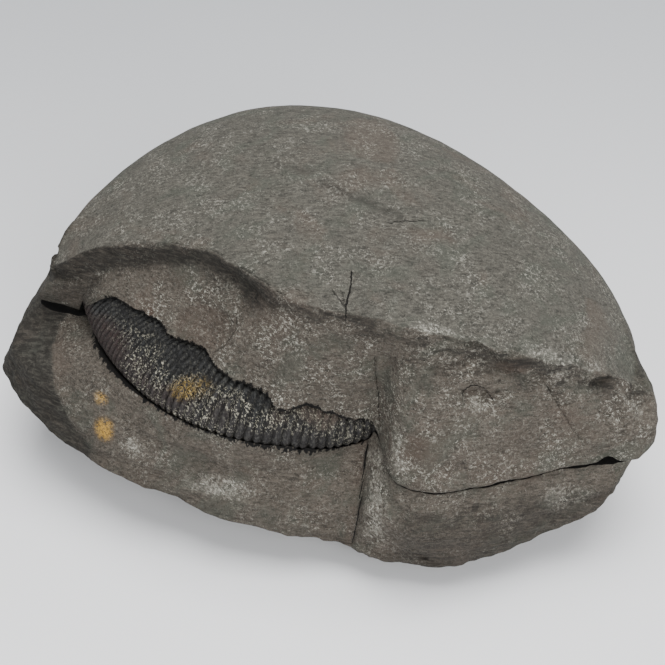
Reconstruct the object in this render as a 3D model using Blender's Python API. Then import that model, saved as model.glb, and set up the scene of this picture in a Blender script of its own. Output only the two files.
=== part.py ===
"""Split ammonite nodule: two halves of a rounded stone with the coiled shell resting between them.

Lengths in the tables are millimetres in the stone's own frame: x to the right, y to the back and
z up, with the plane the stone split along at z = 0. The finished solids are leaned into the
attitude the stone rests in and scaled to metres.
"""
import math

import bmesh
import bpy
import numpy as np
from mathutils import Matrix, Vector

MM = 0.001

# The rings of both halves turn about this plan point, which keeps every edge single-valued
AXIS = (12.0, 38.0)

# Rounded body of the stone: a squared ellipsoid, higher power means fuller shoulders
BODY_CENTRE = (0.9, 10.7)
BODY_RADII = (61.8, 54.3)
BODY_TURN = math.radians(-35.0)
CROWN_HEIGHT = 27.3
KEEL_DEPTH = 31.0
PLAN_POWER = 2.28
RISE_POWER = 2.08

# How the stone leans on its flat, in degrees, and where its frame sits over the floor centre
LEAN = (4.26, 4.58, -6.57)
REST_SHIFT = (2.119, -20.255, 29.2)
HALF_GAP = 0.18
SLOT_DEPTH = 1.75
SOCKET_CLEARANCE = 0.42

# Upper half: edge of the crown, foot of the steep band below it, and the edge at the split
CROWN_EDGE = (
    (-57.6, 20.0), (-58.7, 13.7), (-55.3, 11.5), (-51.1, 12.4), (-46.7, 12.4), (-42.4, 12.0), (-37.8, 11.6),
    (-33.8, 11.1), (-29.6, 10.2), (-25.4, 9.0), (-20.2, 6.0), (-16.4, 3.6), (-13.2, 1.4), (-10.3, -0.2),
    (-7.5, -1.2), (-1.9, -2.0), (7.3, -2.2), (14.8, -3.2), (26.0, -2.9), (33.7, -2.2), (43.8, -1.4),
    (50.3, 0.5), (58.6, 3.4), (59.6, 8.0), (58.2, 13.0),
)
BAND_FOOT = (
    (-58.8, 20.0, 4.0), (-59.8, 13.5, 4.5), (-56.5, 10.6, 7.6), (-52.0, 11.2, 10.2), (-47.0, 11.2, 12.6),
    (-43.2, 10.9, 14.6), (-38.0, 10.3, 16.5), (-33.0, 10.0, 19.2), (-27.7, 8.9, 21.4), (-22.6, 6.7, 21.4),
    (-17.3, 2.9, 20.6), (-13.7, 0.2, 22.2), (-7.5, -2.0, 24.4), (0.0, -3.0, 24.7), (6.5, -3.2, 24.6),
    (14.9, -4.4, 24.4), (26.2, -4.4, 22.6), (34.0, -4.0, 20.5), (44.2, -3.2, 17.0), (51.0, -1.5, 14.0),
    (62.2, 1.0, 9.8), (62.8, 6.4, 7.8), (59.8, 13.0, 7.0),
)
UPPER_RIM = (
    (-59.6, 20.0), (-60.8, 14.5), (-61.6, 9.6), (-56.7, 9.1), (-51.4, 8.3), (-50.4, 6.9), (-49.0, 6.2),
    (-46.2, 6.6), (-44.2, 6.5), (-42.6, 5.8), (-40.8, 4.4), (-38.4, 3.3), (-34.6, 1.6), (-33.2, -0.1),
    (-31.7, -1.0), (-29.4, -1.8), (-25.4, -2.7), (-23.9, -4.4), (-22.2, -6.2), (-18.7, -8.4), (-15.2, -8.6),
    (-11.8, -9.7), (-10.3, -11.9), (-8.7, -12.3), (-6.6, -11.8), (-4.0, -10.8), (2.4, -10.7), (5.3, -11.2),
    (7.2, -10.3), (9.2, -9.6), (10.3, -10.9), (11.4, -14.1), (12.8, -18.3), (14.9, -21.1), (17.9, -22.2),
    (22.7, -22.3), (29.3, -20.1), (36.9, -17.1), (46.6, -13.1), (52.5, -11.2), (57.4, -10.0), (63.5, -7.9),
    (65.3, -4.4), (64.4, 3.0), (60.6, 12.0),
)
# The rim stands this far over the split, or over the shell where it crosses the shell
RIM_OVER_SPLIT = 1.2
RIM_OVER_SHELL = 0.8
# How far the face between band foot and rim swells out (+) or hollows in (-), by bearing in degrees
FACE_SWELL = ((100, 0.0), (120, 0.0), (150, -0.8), (178, -0.6), (190, 0.8), (215, 0.6), (226, 1.2),
              (231, 2.6), (236, 1.5), (246, 0.0))

# Lower half: lip at the split, middle of the broken face, and the widest line before it tucks under
LOWER_LIP = (
    (-51.9, 43.0, 0.0), (-56.3, 35.0, 0.0), (-59.1, 27.0, 0.0), (-60.2, 20.0, -0.3),
    (-60.9, 14.5, -0.8), (-61.4, 9.4, -2.8), (-58.5, 8.8, -3.2), (-54.0, 8.6, -3.4), (-50.4, 7.6, -3.2),
    (-49.2, 4.2, -1.6), (-47.8, 1.8, -0.4), (-45.8, -1.4, -0.3), (-42.0, -5.2, -0.3),
    (-38.5, -8.0, -0.3), (-33.8, -11.1, -0.3), (-28.0, -13.9, -0.3), (-21.2, -15.7, -0.3),
    (-14.8, -16.6, -0.3), (-10.4, -16.8, -0.8), (-6.0, -16.3, -1.6), (-3.4, -15.6, -2.2),
    (-0.1, -14.5, -3.0), (4.6, -12.4, -3.0), (9.3, -9.8, -2.0), (10.3, -10.9, 0.0), (11.4, -14.1, 0.0),
    (12.8, -18.3, 0.0), (14.9, -21.1, 0.0), (17.9, -22.2, 0.0), (22.7, -22.3, 0.0), (29.3, -20.1, 0.0),
    (36.9, -17.1, 0.0), (46.6, -13.1, 0.0), (52.5, -11.2, 0.0), (57.2, -10.0, -0.5), (61.0, -8.2, -0.8),
    (61.4, -3.0, -0.4), (60.3, 4.0, 0.0), (59.9, 12.0, 0.0),
)
LOWER_FACE = (
    (-53.5, 43.0, -6.0), (-58.4, 35.0, -6.0), (-61.6, 27.0, -6.0), (-63.3, 20.0, -6.0), (-64.7, 13.5, -6.0),
    (-65.6, 7.0, -6.0), (-65.4, 1.4, -6.4), (-61.0, -4.0, -7.0), (-54.2, -7.8, -8.0), (-46.4, -11.4, -8.0),
    (-36.2, -15.8, -8.5), (-27.0, -18.3, -9.0),
    (-18.0, -20.5, -9.5), (-9.5, -21.5, -10.0), (-1.0, -22.0, -10.5), (4.5, -21.5, -10.5),
    (7.6, -20.5, -10.0), (10.5, -21.5, -8.0), (14.3, -25.4, -7.0), (19.5, -27.3, -7.0), (26.0, -27.0, -7.0),
    (33.0, -24.8, -7.0), (41.0, -20.8, -6.5), (50.4, -16.2, -5.0), (58.2, -12.6, -3.5), (62.0, -7.0, -3.0),
    (61.6, 2.0, -3.0), (60.2, 12.0, -3.0),
)
LOWER_BELLY = (
    (-54.5, 43.0, -12.0), (-59.6, 35.0, -12.5), (-63.3, 27.0, -13.0), (-65.4, 20.0, -13.5),
    (-67.2, 13.5, -13.8), (-68.4, 7.0, -14.0), (-68.8, 0.4, -14.0), (-61.0, -8.2, -15.0),
    (-54.0, -13.2, -16.0), (-46.6, -16.8, -16.0), (-35.6, -21.0, -16.0), (-26.6, -23.3, -16.0),
    (-17.9, -25.2, -16.4), (-9.7, -26.3, -17.0), (0.5, -27.1, -18.0), (8.8, -28.2, -19.0),
    (19.0, -29.0, -19.0), (26.8, -28.7, -18.0), (34.6, -26.7, -17.0), (42.1, -23.2, -15.0),
    (48.0, -19.9, -13.0), (54.4, -17.1, -10.0), (59.0, -13.2, -7.0), (61.6, -6.9, -6.5), (60.4, 2.0, -7.0),
    (59.8, 12.0, -7.0),
)
# Bearings between which the broken front fades into the rounded body: outer, inner, inner, outer
UPPER_BREAK = (97.0, 109.0, 234.0, 250.0)
LOWER_BREAK = (74.0, 92.0, 228.0, 246.0)

# Coiled shell: outer radius at the front, growth per radian, and the bearing of its mouth
COIL_CENTRE = (-9.0, 26.4)
COIL_EDGE = 42.6
COIL_GROWTH = 0.07
MOUTH_DEGREES = -163.0
WHORL_TALL = 0.25
WHORL_WIDE = 0.18
THIN_CORE = 0.75
RIB_DEGREES = 2.5
RIB_HEIGHT = 0.35
RIBBED_TURN = 105.0


def smooth(low, high, value):
    """Ease from 0 to 1 between low and high."""
    share = np.clip((value - low) / (high - low), 0.0, 1.0)
    return share * share * (3.0 - 2.0 * share)


def heading(bearing):
    """Plan direction of each bearing, counted in degrees from the back round by the left."""
    angle = np.radians(np.asarray(bearing, float) - 270.0)
    return np.cos(angle), np.sin(angle)


def body_height(x, y, height):
    """Height of the squared ellipsoid over the plan, 0 outside it."""
    cos_turn, sin_turn = math.cos(BODY_TURN), math.sin(BODY_TURN)
    along = ((x - BODY_CENTRE[0]) * cos_turn + (y - BODY_CENTRE[1]) * sin_turn) / BODY_RADII[0]
    across = (-(x - BODY_CENTRE[0]) * sin_turn + (y - BODY_CENTRE[1]) * cos_turn) / BODY_RADII[1]
    reach = (np.abs(along) ** PLAN_POWER + np.abs(across) ** PLAN_POWER) ** (1.0 / PLAN_POWER)
    return height * np.maximum(0.0, 1.0 - reach ** RISE_POWER) ** (1.0 / RISE_POWER)


def keel_depth(x, y):
    """Depth of the underside, which wears level while the stone leans."""
    return KEEL_DEPTH - 0.088 * (x - 10.0) + 0.08 * (y - 17.0)


def body_reach(bearing):
    """Radius from the ring axis to the outline of the rounded body."""
    dx, dy = heading(bearing)
    radius = np.linspace(1.0, 130.0, 2600)
    inside = body_height(AXIS[0] + dx[:, None] * radius, AXIS[1] + dy[:, None] * radius, 1.0) > 0.0
    return radius[inside.sum(axis=1) - 1]


def read_edge(table, bearing, soft):
    """Radius and height of a measured edge at each bearing, rounded over soft degrees."""
    points = np.asarray(table, float)
    offset = points[:, :2] - np.array(AXIS)
    at = (np.degrees(np.arctan2(offset[:, 1], offset[:, 0])) + 270.0) % 360.0
    order = np.argsort(at)
    spread = np.linspace(-2.0 * soft, 2.0 * soft, 9)
    weight = np.exp(-0.5 * (spread / soft) ** 2)
    sample = np.asarray(bearing, float)[:, None] + spread
    radius = np.interp(sample, at[order], np.hypot(offset[:, 0], offset[:, 1])[order])
    radius = (radius * weight).sum(axis=1) / weight.sum()
    if points.shape[1] < 3:
        return radius, None
    level = np.interp(sample, at[order], points[order, 2])
    return radius, (level * weight).sum(axis=1) / weight.sum()


def broken_share(bearing, limits):
    """1 where the stone is broken away, 0 where its rounded body is whole."""
    return smooth(limits[0], limits[1], bearing) * (1.0 - smooth(limits[2], limits[3], bearing))


def split_level(x, y):
    """Height of the gently waved split between the halves."""
    return 0.45 * np.sin(x / 17.0 + 0.6) * np.cos(y / 23.0 - 0.4) + 0.12 * np.sin(x / 6.1 + y / 9.7)


def split_face(x, y, side):
    """Level of a half's split face: the split, its gap, and the lower half's open slot at the left end."""
    slot = smooth(-50.6, -53.5, x) * smooth(16.5, 11.0, y) * (1.0 - 0.8 * smooth(-58.0, -62.5, x))
    return split_level(x, y) + side * HALF_GAP - SLOT_DEPTH * slot * (side < 0)


def drop_to_split(radius, level, bearing, side):
    """Move each column's point nearest the split onto it, along the line to its neighbour."""
    dx, dy = heading(bearing)
    first, second = radius
    target = split_face(AXIS[0] + dx * first, AXIS[1] + dy * first, side)
    share = np.clip((target - level[1]) / (level[0] - level[1]), 0.0, 1.0)
    return second + (first - second) * share, target


def upper_columns(bearing):
    """Rings of the upper half from near the axis down to the split, as radii and heights."""
    dx, dy = heading(bearing)
    broken = broken_share(bearing, UPPER_BREAK)
    whole = body_reach(bearing)
    edge = np.minimum(read_edge(CROWN_EDGE, bearing, 0.5)[0], whole - 0.5)
    crown = broken * edge + (1.0 - broken) * whole * 0.86
    foot, foot_level = read_edge(BAND_FOOT, bearing, 0.5)
    rim = read_edge(UPPER_RIM, bearing, 0.35)[0]
    rim_level = np.maximum(RIM_OVER_SPLIT, shell_top(AXIS[0] + dx * rim, AXIS[1] + dy * rim) + RIM_OVER_SHELL)
    swell = np.interp(bearing, *zip(*FACE_SWELL))
    rings = []
    for share in (0.3, 0.6, 0.85, 1.0):
        radius = crown * share
        rings.append((radius, body_height(AXIS[0] + dx * radius, AXIS[1] + dy * radius, CROWN_HEIGHT)))
    halfway = foot + (rim - foot) * 0.5 + swell
    over_shell = shell_top(AXIS[0] + dx * halfway, AXIS[1] + dy * halfway) + RIM_OVER_SHELL
    middle = (halfway, np.maximum(foot_level + (rim_level - foot_level) * 0.5, over_shell))
    below = drop_to_split((rim, rim - 1.2), (rim_level, rim_level * 0.0 - 5.0), bearing, 1.0)
    face = ((foot, foot_level), middle, (rim, rim_level), below)
    for (radius, level), turn in zip(face, (25.0, 55.0, 80.0, 90.0)):
        round_radius = crown + (whole - crown) * math.sin(math.radians(turn))
        x, y = AXIS[0] + dx * round_radius, AXIS[1] + dy * round_radius
        round_level = body_height(x, y, CROWN_HEIGHT)
        if turn == 90.0:
            round_level = split_face(x, y, 1.0)
        rings.append((broken * radius + (1.0 - broken) * round_radius,
                      broken * level + (1.0 - broken) * round_level))
    return rings


def lower_columns(bearing):
    """Rings of the lower half from the split down to near the axis, as radii and heights."""
    dx, dy = heading(bearing)
    broken = broken_share(bearing, LOWER_BREAK)
    whole = body_reach(bearing)
    lip, lip_level = read_edge(LOWER_LIP, bearing, 0.35)
    face, face_level = read_edge(LOWER_FACE, bearing, 0.5)
    belly, belly_level = read_edge(LOWER_BELLY, bearing, 0.8)
    top = drop_to_split((lip - 1.2, lip), (lip_level + 9.0, lip_level), bearing, -1.0)
    side = ((top[0], top[1]), (lip, np.minimum(lip_level, -1.2)), (face, face_level), (belly, belly_level),
            (belly - 4.0, belly_level - 4.2), (belly * 0.74, 0.15 * belly_level - 23.8),
            (belly * 0.45, -0.975 * keel_depth(AXIS[0] + dx * belly * 0.45, AXIS[1] + dy * belly * 0.45)))
    rings = []
    for (radius, level), turn in zip(side, (0.0, 10.0, 21.0, 37.0, 52.0, 66.0, 80.0)):
        round_radius = whole * math.cos(math.radians(turn))
        x, y = AXIS[0] + dx * round_radius, AXIS[1] + dy * round_radius
        round_level = -body_height(x, y, keel_depth(x, y))
        if turn == 0.0:
            round_level = split_face(x, y, -1.0)
        rings.append((broken * radius + (1.0 - broken) * round_radius,
                      broken * level + (1.0 - broken) * round_level))
    return rings


def coil_edge(turn):
    """Outer radius of the shell, by degrees wound back from its mouth."""
    start = COIL_EDGE * math.exp(COIL_GROWTH * math.radians(-90.0 - MOUTH_DEGREES))
    return start * np.exp(-COIL_GROWTH * np.radians(turn))


def coil_plane(x):
    """Middle level of the shell, which lies slightly tipped in the stone."""
    return -0.5 - 0.045 * (x + 9.0)


def coil_half(radius, turn):
    """Half thickness of the coiled whorls at a radius: the widest of the nested ellipses."""
    half = np.full(np.shape(radius), THIN_CORE)
    for whorl in range(4):
        edge = coil_edge(turn + 360.0 * whorl)
        tall = WHORL_TALL * edge
        reach = (radius - (edge - tall)) / tall
        half = np.maximum(half, WHORL_WIDE * edge * np.sqrt(np.maximum(0.0, 1.0 - reach * reach)))
    return half


def shell_top(x, y):
    """Upper surface of the shell over the plan, far below everything outside its edge."""
    dx, dy = x - COIL_CENTRE[0], y - COIL_CENTRE[1]
    radius, turn = np.hypot(dx, dy), (np.degrees(np.arctan2(dy, dx)) - MOUTH_DEGREES) % 360.0
    return np.where(radius < coil_edge(turn), coil_plane(x) + coil_half(radius, turn), -99.0)


def build_object(name, mesh, colour, roughness):
    """Make a mesh object with its own material from a bmesh."""
    bmesh.ops.recalc_face_normals(mesh, faces=mesh.faces)
    data = bpy.data.meshes.new(name)
    mesh.to_mesh(data)
    mesh.free()
    obj = bpy.data.objects.new(name, data)
    bpy.context.scene.collection.objects.link(obj)
    surface = bpy.data.materials.new(name)
    surface.use_nodes = True
    shader = surface.node_tree.nodes["Principled BSDF"]
    shader.inputs["Base Color"].default_value = (*colour, 1.0)
    shader.inputs["Roughness"].default_value = roughness
    data.materials.append(surface)
    return obj


def ring_loop(mesh, points):
    """Add a closed loop of edges through the points and return its edges."""
    verts = [mesh.verts.new(Vector(point) * MM) for point in points]
    return [mesh.edges.new((verts[i], verts[(i + 1) % len(verts)])) for i in range(len(verts))]


def skin_rings(mesh, loops, first_pole, last_pole):
    """Bridge neighbouring loops and close both ends with fans to a pole point."""
    for upper, lower in zip(loops, loops[1:]):
        bmesh.ops.bridge_loops(mesh, edges=upper + lower)
    for loop, pole in ((loops[0], first_pole), (loops[-1], last_pole)):
        tip = mesh.verts.new(Vector(pole) * MM)
        for edge in loop:
            mesh.faces.new((edge.verts[0], edge.verts[1], tip))


def half_mesh(bearing, rings, side, pole_level):
    """Closed half of the stone: its outside rings and the flat rings of its split face."""
    dx, dy = heading(bearing)
    outer = list(rings) if side > 0 else list(reversed(rings))
    split_radius = outer[-1][0]
    for share in (0.75, 0.5, 0.25):
        radius = split_radius * share
        outer.append((radius, split_face(AXIS[0] + dx * radius, AXIS[1] + dy * radius, side)))
    mesh = bmesh.new()
    loops = [ring_loop(mesh, zip(AXIS[0] + dx * radius, AXIS[1] + dy * radius, level))
             for radius, level in outer]
    middle = split_level(*AXIS) + side * HALF_GAP
    skin_rings(mesh, loops, (*AXIS, pole_level), (*AXIS, middle))
    bmesh.ops.triangulate(mesh, faces=mesh.faces)
    return mesh


def coil_mesh(turns, shares, clearance, ribbed):
    """Closed coil: rings at shares of the outer radius, over the top, round the edge and back below."""
    mesh = bmesh.new()
    edge = coil_edge(turns)
    bearing = np.radians(turns + MOUTH_DEGREES)
    rib = np.zeros(len(turns))
    if ribbed:
        crest = np.arange(len(turns)) % 2 * RIB_HEIGHT
        rib = np.where(turns <= RIBBED_TURN, crest - RIB_HEIGHT, -0.5 * RIB_HEIGHT)
    loops = []
    path = [(share, 1.0) for share in shares] + [(1.0, 0.0)] + [(share, -1.0) for share in reversed(shares)]
    for share, side in path:
        tooth = rib * (share > 0.85) + clearance * (side == 0.0) + clearance * (share > 0.85) * 0.7
        radius = edge * share + tooth
        x, y = COIL_CENTRE[0] + radius * np.cos(bearing), COIL_CENTRE[1] + radius * np.sin(bearing)
        thick = coil_half(edge * share, turns) + clearance + rib * 0.4 * (share > 0.85)
        loops.append(ring_loop(mesh, zip(x, y, coil_plane(x) + side * thick)))
    middle = coil_plane(COIL_CENTRE[0])
    reach = THIN_CORE + clearance
    skin_rings(mesh, loops, (*COIL_CENTRE, middle + reach), (*COIL_CENTRE, middle - reach))
    bmesh.ops.triangulate(mesh, faces=mesh.faces)
    return mesh


def settle(obj):
    """Lean an object into the stone's resting attitude over the floor centre."""
    turn = Matrix.Identity(4)
    for axis, angle in zip("XYZ", LEAN):
        turn = turn @ Matrix.Rotation(math.radians(angle), 4, axis)
    obj.data.transform(Matrix.Translation(Vector(REST_SHIFT) * MM) @ turn)


def carve(obj, cutter):
    """Take the cutter out of an object and keep the one main body."""
    modifier = obj.modifiers.new("socket", "BOOLEAN")
    modifier.operation = "DIFFERENCE"
    modifier.solver = "EXACT"
    modifier.object = cutter
    shaped = bpy.data.meshes.new_from_object(obj.evaluated_get(bpy.context.evaluated_depsgraph_get()))
    obj.modifiers.remove(modifier)
    mesh = bmesh.new()
    mesh.from_mesh(shaped)
    bmesh.ops.remove_doubles(mesh, verts=mesh.verts, dist=0.00001)
    bmesh.ops.dissolve_degenerate(mesh, edges=mesh.edges, dist=0.00001)
    keep_main_body(mesh)
    bmesh.ops.triangulate(mesh, faces=mesh.faces)
    bmesh.ops.recalc_face_normals(mesh, faces=mesh.faces)
    mesh.to_mesh(obj.data)
    mesh.free()


def keep_main_body(mesh):
    """Delete every connected island of faces but the largest."""
    left = set(mesh.faces)
    islands = []
    while left:
        stack = [left.pop()]
        island = []
        while stack:
            face = stack.pop()
            island.append(face)
            for edge in face.edges:
                near = [other for other in edge.link_faces if other in left]
                left.difference_update(near)
                stack.extend(near)
        islands.append(island)
    islands.sort(key=len, reverse=True)
    for island in islands[1:]:
        bmesh.ops.delete(mesh, geom=island, context="FACES")


def flatten_base(obj):
    """Cut the keel off level with the floor, which leaves the flat the stone rests on."""
    mesh = bmesh.new()
    mesh.from_mesh(obj.data)
    cut = bmesh.ops.bisect_plane(mesh, geom=mesh.verts[:] + mesh.edges[:] + mesh.faces[:], dist=1e-6,
                                 plane_co=(0.0, 0.0, 0.0), plane_no=(0.0, 0.0, -1.0), clear_outer=True)
    rim = [item for item in cut["geom_cut"] if isinstance(item, bmesh.types.BMEdge)]
    bmesh.ops.contextual_create(mesh, geom=rim)
    bmesh.ops.recalc_face_normals(mesh, faces=mesh.faces)
    mesh.to_mesh(obj.data)
    mesh.free()


def main():
    """Build both halves and the shell, carve its sockets and settle the stone on the floor."""
    for obj in list(bpy.data.objects):
        bpy.data.objects.remove(obj)
    # Rings are sampled finely over the broken front and the step in it, coarsely round the back
    bearing = np.concatenate([np.arange(0.0, 96.0, 8.0), np.arange(96.0, 108.0, 4.0),
                              np.arange(108.0, 124.0, 2.0), np.arange(124.0, 172.0, 4.0),
                              np.arange(172.0, 188.0, 2.0), np.arange(188.0, 240.0, 4.0),
                              np.arange(240.0, 360.0, 8.0)])
    crown_level = body_height(*AXIS, CROWN_HEIGHT)
    upper = build_object("upper_half", half_mesh(bearing, upper_columns(bearing), 1.0, crown_level),
                         (0.155, 0.145, 0.122), 0.85)
    keel_level = -keel_depth(*AXIS)
    lower = build_object("lower_half", half_mesh(bearing, lower_columns(bearing), -1.0, keel_level),
                         (0.115, 0.104, 0.088), 0.85)
    shell_turns = np.concatenate([np.arange(0.0, RIBBED_TURN + 0.1, RIB_DEGREES / 2.0),
                                  np.arange(RIBBED_TURN + 4.0, 355.0, 4.0), [357.0]])
    flank = (0.2, 0.42, 0.64, 0.75, 0.88, 0.97)
    shell = build_object("ammonite", coil_mesh(shell_turns, flank, 0.0, True), (0.042, 0.04, 0.037), 0.6)
    socket_turns = np.concatenate([np.arange(-0.8, 352.0, 6.0), [355.2]])
    socket = build_object("socket_cutter", coil_mesh(socket_turns, flank, SOCKET_CLEARANCE, False),
                          (0.5, 0.5, 0.5), 0.9)
    socket.hide_render = True
    socket.display_type = "WIRE"
    for obj in (upper, lower, shell, socket):
        settle(obj)
    bpy.context.view_layer.update()
    carve(upper, socket)
    carve(lower, socket)
    flatten_base(lower)


main()
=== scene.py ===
"""Looks of the split ammonite nodule: two halves of stone and the coiled shell between them.

Forms are worked out in the stone's own frame in millimetres: x to the right, y to the back, z up,
with the plane the stone split along at z = 0. They are leaned into the attitude the stone rests in
and put into the meshes in metres. Positions in the stone's frame are kept in the attribute "stone",
which the materials read.
"""

import logging
import math
from dataclasses import dataclass, field
from enum import Enum
from typing import Any, Callable, Sequence

import bpy
import numpy as np
from mathutils import Matrix, Vector

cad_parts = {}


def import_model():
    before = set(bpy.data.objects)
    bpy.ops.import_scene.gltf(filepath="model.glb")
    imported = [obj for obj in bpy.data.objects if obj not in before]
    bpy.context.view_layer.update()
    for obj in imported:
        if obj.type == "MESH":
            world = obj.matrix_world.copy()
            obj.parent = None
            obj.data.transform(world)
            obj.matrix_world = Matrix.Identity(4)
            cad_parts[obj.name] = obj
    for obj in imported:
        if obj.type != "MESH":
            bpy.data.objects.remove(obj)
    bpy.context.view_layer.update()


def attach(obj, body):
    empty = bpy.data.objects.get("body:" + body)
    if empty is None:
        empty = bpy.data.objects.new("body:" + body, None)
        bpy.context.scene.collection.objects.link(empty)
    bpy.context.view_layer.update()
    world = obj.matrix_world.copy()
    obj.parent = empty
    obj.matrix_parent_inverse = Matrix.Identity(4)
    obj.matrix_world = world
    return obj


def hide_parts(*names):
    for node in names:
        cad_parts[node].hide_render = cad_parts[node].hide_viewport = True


LOG = logging.getLogger("nodule")
MM = 0.001
Array = np.ndarray
Point = Sequence[float]

# How the stone leans on its flat, in degrees, and where its own frame sits over the floor centre
LEAN = (4.26, 4.58, -6.57)
REST_SHIFT = (2.119, -20.255, 29.2)
# The rings of both halves turn about this plan point, which keeps every edge single-valued
AXIS = (12.0, 38.0)
# The direction the broken front faces, for telling one side of a crack from the other
FACING = np.array((0.0, -0.63, 0.78))


class Side(Enum):
    """Which half a split face belongs to, as the sign of its outward height."""

    UPPER = 1.0
    LOWER = -1.0


# Numbers and random fields

def ease(low: float, high: float, value: Array) -> Array:
    """Smooth step: 0 below low, 1 above high, with level ends; it falls where high is the smaller."""
    share = np.clip((value - low) / (high - low), 0.0, 1.0)
    return share * share * (3.0 - 2.0 * share)


def heading(bearing: Array) -> tuple[Array, Array]:
    """Plan direction of each bearing, counted in degrees from the back round by the left."""
    angle = np.radians(bearing - 270.0)
    return np.cos(angle), np.sin(angle)


def scatter(cell: Array, seed: int) -> Array:
    """Random value from -1 to 1 for each lattice cell, mixed from its three whole numbers.

    Args:
        cell: integer indices, last axis x, y, z.
        seed: changes the whole field.

    Returns:
        One value per cell.
    """
    mixed = (cell[..., 0] * 374761393 + cell[..., 1] * 668265263 + cell[..., 2] * 2147483647
             + seed * 1274126177) & 0xFFFFFFFF
    mixed = ((mixed ^ (mixed >> 13)) * 1103515245) & 0xFFFFFFFF
    mixed = ((mixed ^ (mixed >> 16)) * 12345677) & 0xFFFFFFFF
    return (mixed ^ (mixed >> 15)) / float(0x7FFFFFFF) - 1.0


def ripple(points: Array, size: float | Point, seed: int) -> Array:
    """Soft random field: values at the corners of a lattice, blended by a quintic across each cell.

    Args:
        points: positions, last axis x, y, z.
        size: lattice pitch, one number or one for each axis.
        seed: changes the whole field.

    Returns:
        Values from about -1 to 1.
    """
    scaled = points / np.asarray(size, float)
    low = np.floor(scaled)
    part = scaled - low
    part = part ** 3 * (part * (part * 6.0 - 15.0) + 10.0)
    low = low.astype(np.int64)
    total = np.zeros(points.shape[:-1])
    for corner in range(8):
        step = np.array([corner & 1, corner >> 1 & 1, corner >> 2 & 1])
        weight = np.prod(np.where(step == 1, part, 1.0 - part), axis=-1)
        total += weight * scatter(low + step, seed)
    return total


def layers(points: Array, size: float | Point, seed: int, octaves: int = 3, fall: float = 0.5) -> Array:
    """Sum of ripples, each half the pitch and fall times the height of the one before.

    Args:
        points: positions, last axis x, y, z.
        size: pitch of the first ripple.
        seed: seed of the first ripple; the others count on from it.
        octaves: how many ripples are summed.
        fall: height of each ripple against the one before.

    Returns:
        One value per point.
    """
    total = np.zeros(points.shape[:-1])
    for octave in range(octaves):
        total += fall ** octave * ripple(points, np.asarray(size, float) / 2.0 ** octave, seed + octave)
    return total


# Marks placed on the stone

def spot(points: Array, centre: Point, reach: Point, core: float = 0.3) -> Array:
    """Round mark: 1 inside the core share of an ellipsoid, fading to 0 at its surface."""
    offset = (points - np.asarray(centre, float)) / np.asarray(reach, float)
    return 1.0 - ease(core, 1.0, np.linalg.norm(offset, axis=-1))


def nearest(points: Array, line: Sequence[Point]) -> tuple[Array, Array, Array]:
    """Distance to a broken line, which side of it a point lies on, and how far past its ends.

    Each stretch gives the distance to its nearest point; the smallest wins. The side is the sign of
    the offset along the stretch's direction crossed with the way the broken front faces.

    Args:
        points: positions in the stone's frame.
        line: the line's points.

    Returns:
        Distance, side and overshoot, each one per point.
    """
    best = np.full(points.shape[:-1], 1e9)
    side = np.ones(points.shape[:-1])
    beyond = np.zeros(points.shape[:-1])
    last = len(line) - 2
    for index, (start, end) in enumerate(zip(line, line[1:])):
        first, step = np.asarray(start, float), np.asarray(end, float) - np.asarray(start, float)
        raw = ((points - first) @ step) / (step @ step)
        offset = points - first - np.clip(raw, 0.0, 1.0)[..., None] * step
        distance = np.linalg.norm(offset, axis=-1)
        past = np.maximum(-raw, 0.0) * (index == 0) + np.maximum(raw - 1.0, 0.0) * (index == last)
        closer = distance < best
        side = np.where(closer, np.where(offset @ np.cross(step, FACING) < 0.0, -1.0, 1.0), side)
        beyond = np.where(closer, past * np.linalg.norm(step), beyond)
        best = np.minimum(best, distance)
    return best, side, beyond


def track(points: Array, line: Sequence[Point], reach: float) -> Array:
    """Mark along a broken line: 1 on the line, fading to 0 at the reach from it."""
    return 1.0 - ease(0.0, reach, nearest(points, line)[0])


@dataclass(frozen=True)
class Patch:
    """A soft mark on the stone: a spot where it has one point, a track along several."""

    amount: float
    line: tuple[tuple[float, float, float], ...]
    reach: float | Point
    core: float = 0.3

    def strength(self, points: Array) -> Array:
        """Amount of the mark at each point.

        Args:
            points: positions in the stone's frame.

        Returns:
            One value per point.
        """
        if len(self.line) == 1:
            return self.amount * spot(points, self.line[0], self.reach, self.core)
        return self.amount * track(points, self.line, self.reach)


def summed(patches: Sequence[Patch], points: Array) -> Array:
    """Sum of the strengths of several patches."""
    return sum(patch.strength(points) for patch in patches)


@dataclass(frozen=True)
class Crack:
    """A hair crack or crease on the stone: its line, how dark it shows and how deep it cuts."""

    line: tuple[tuple[float, float, float], ...]
    strength: float = 1.0
    depth: float = 0.25

    def cut(self, points: Array) -> Array:
        """Depth of its groove, half a millimetre wide each way and shallow at both ends."""
        distance, _, beyond = nearest(points, self.line)
        return self.depth * (1.0 - ease(0.0, 0.55, distance)) * (1.0 - ease(0.0, 0.6, beyond))


def crack_marks(points: Array, cracks: Sequence[Crack]) -> dict[str, Array]:
    """Signed distance to the nearest crack, and how strongly it shows.

    A signed distance runs through 0 across a crack, so a thin line stays thin between mesh points.
    The strength is 0 past a crack's ends and more than a millimetre away from it.

    Args:
        points: positions in the stone's frame.
        cracks: the cracks.

    Returns:
        The attributes "crack" and "crack_on".
    """
    best = np.full(points.shape[:-1], 9.0)
    signed = np.full(points.shape[:-1], 9.0)
    shown = np.zeros(points.shape[:-1])
    for crack in cracks:
        distance, side, beyond = nearest(points, crack.line)
        here = distance < best
        signed = np.where(here, np.minimum(distance, 9.0) * side, signed)
        fade = crack.strength * (1.0 - ease(0.0, 0.8, beyond)) * (1.0 - ease(0.9, 1.4, distance))
        shown = np.where(here, fade, shown)
        best = np.minimum(best, distance)
    return {"crack": signed, "crack_on": shown}


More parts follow.
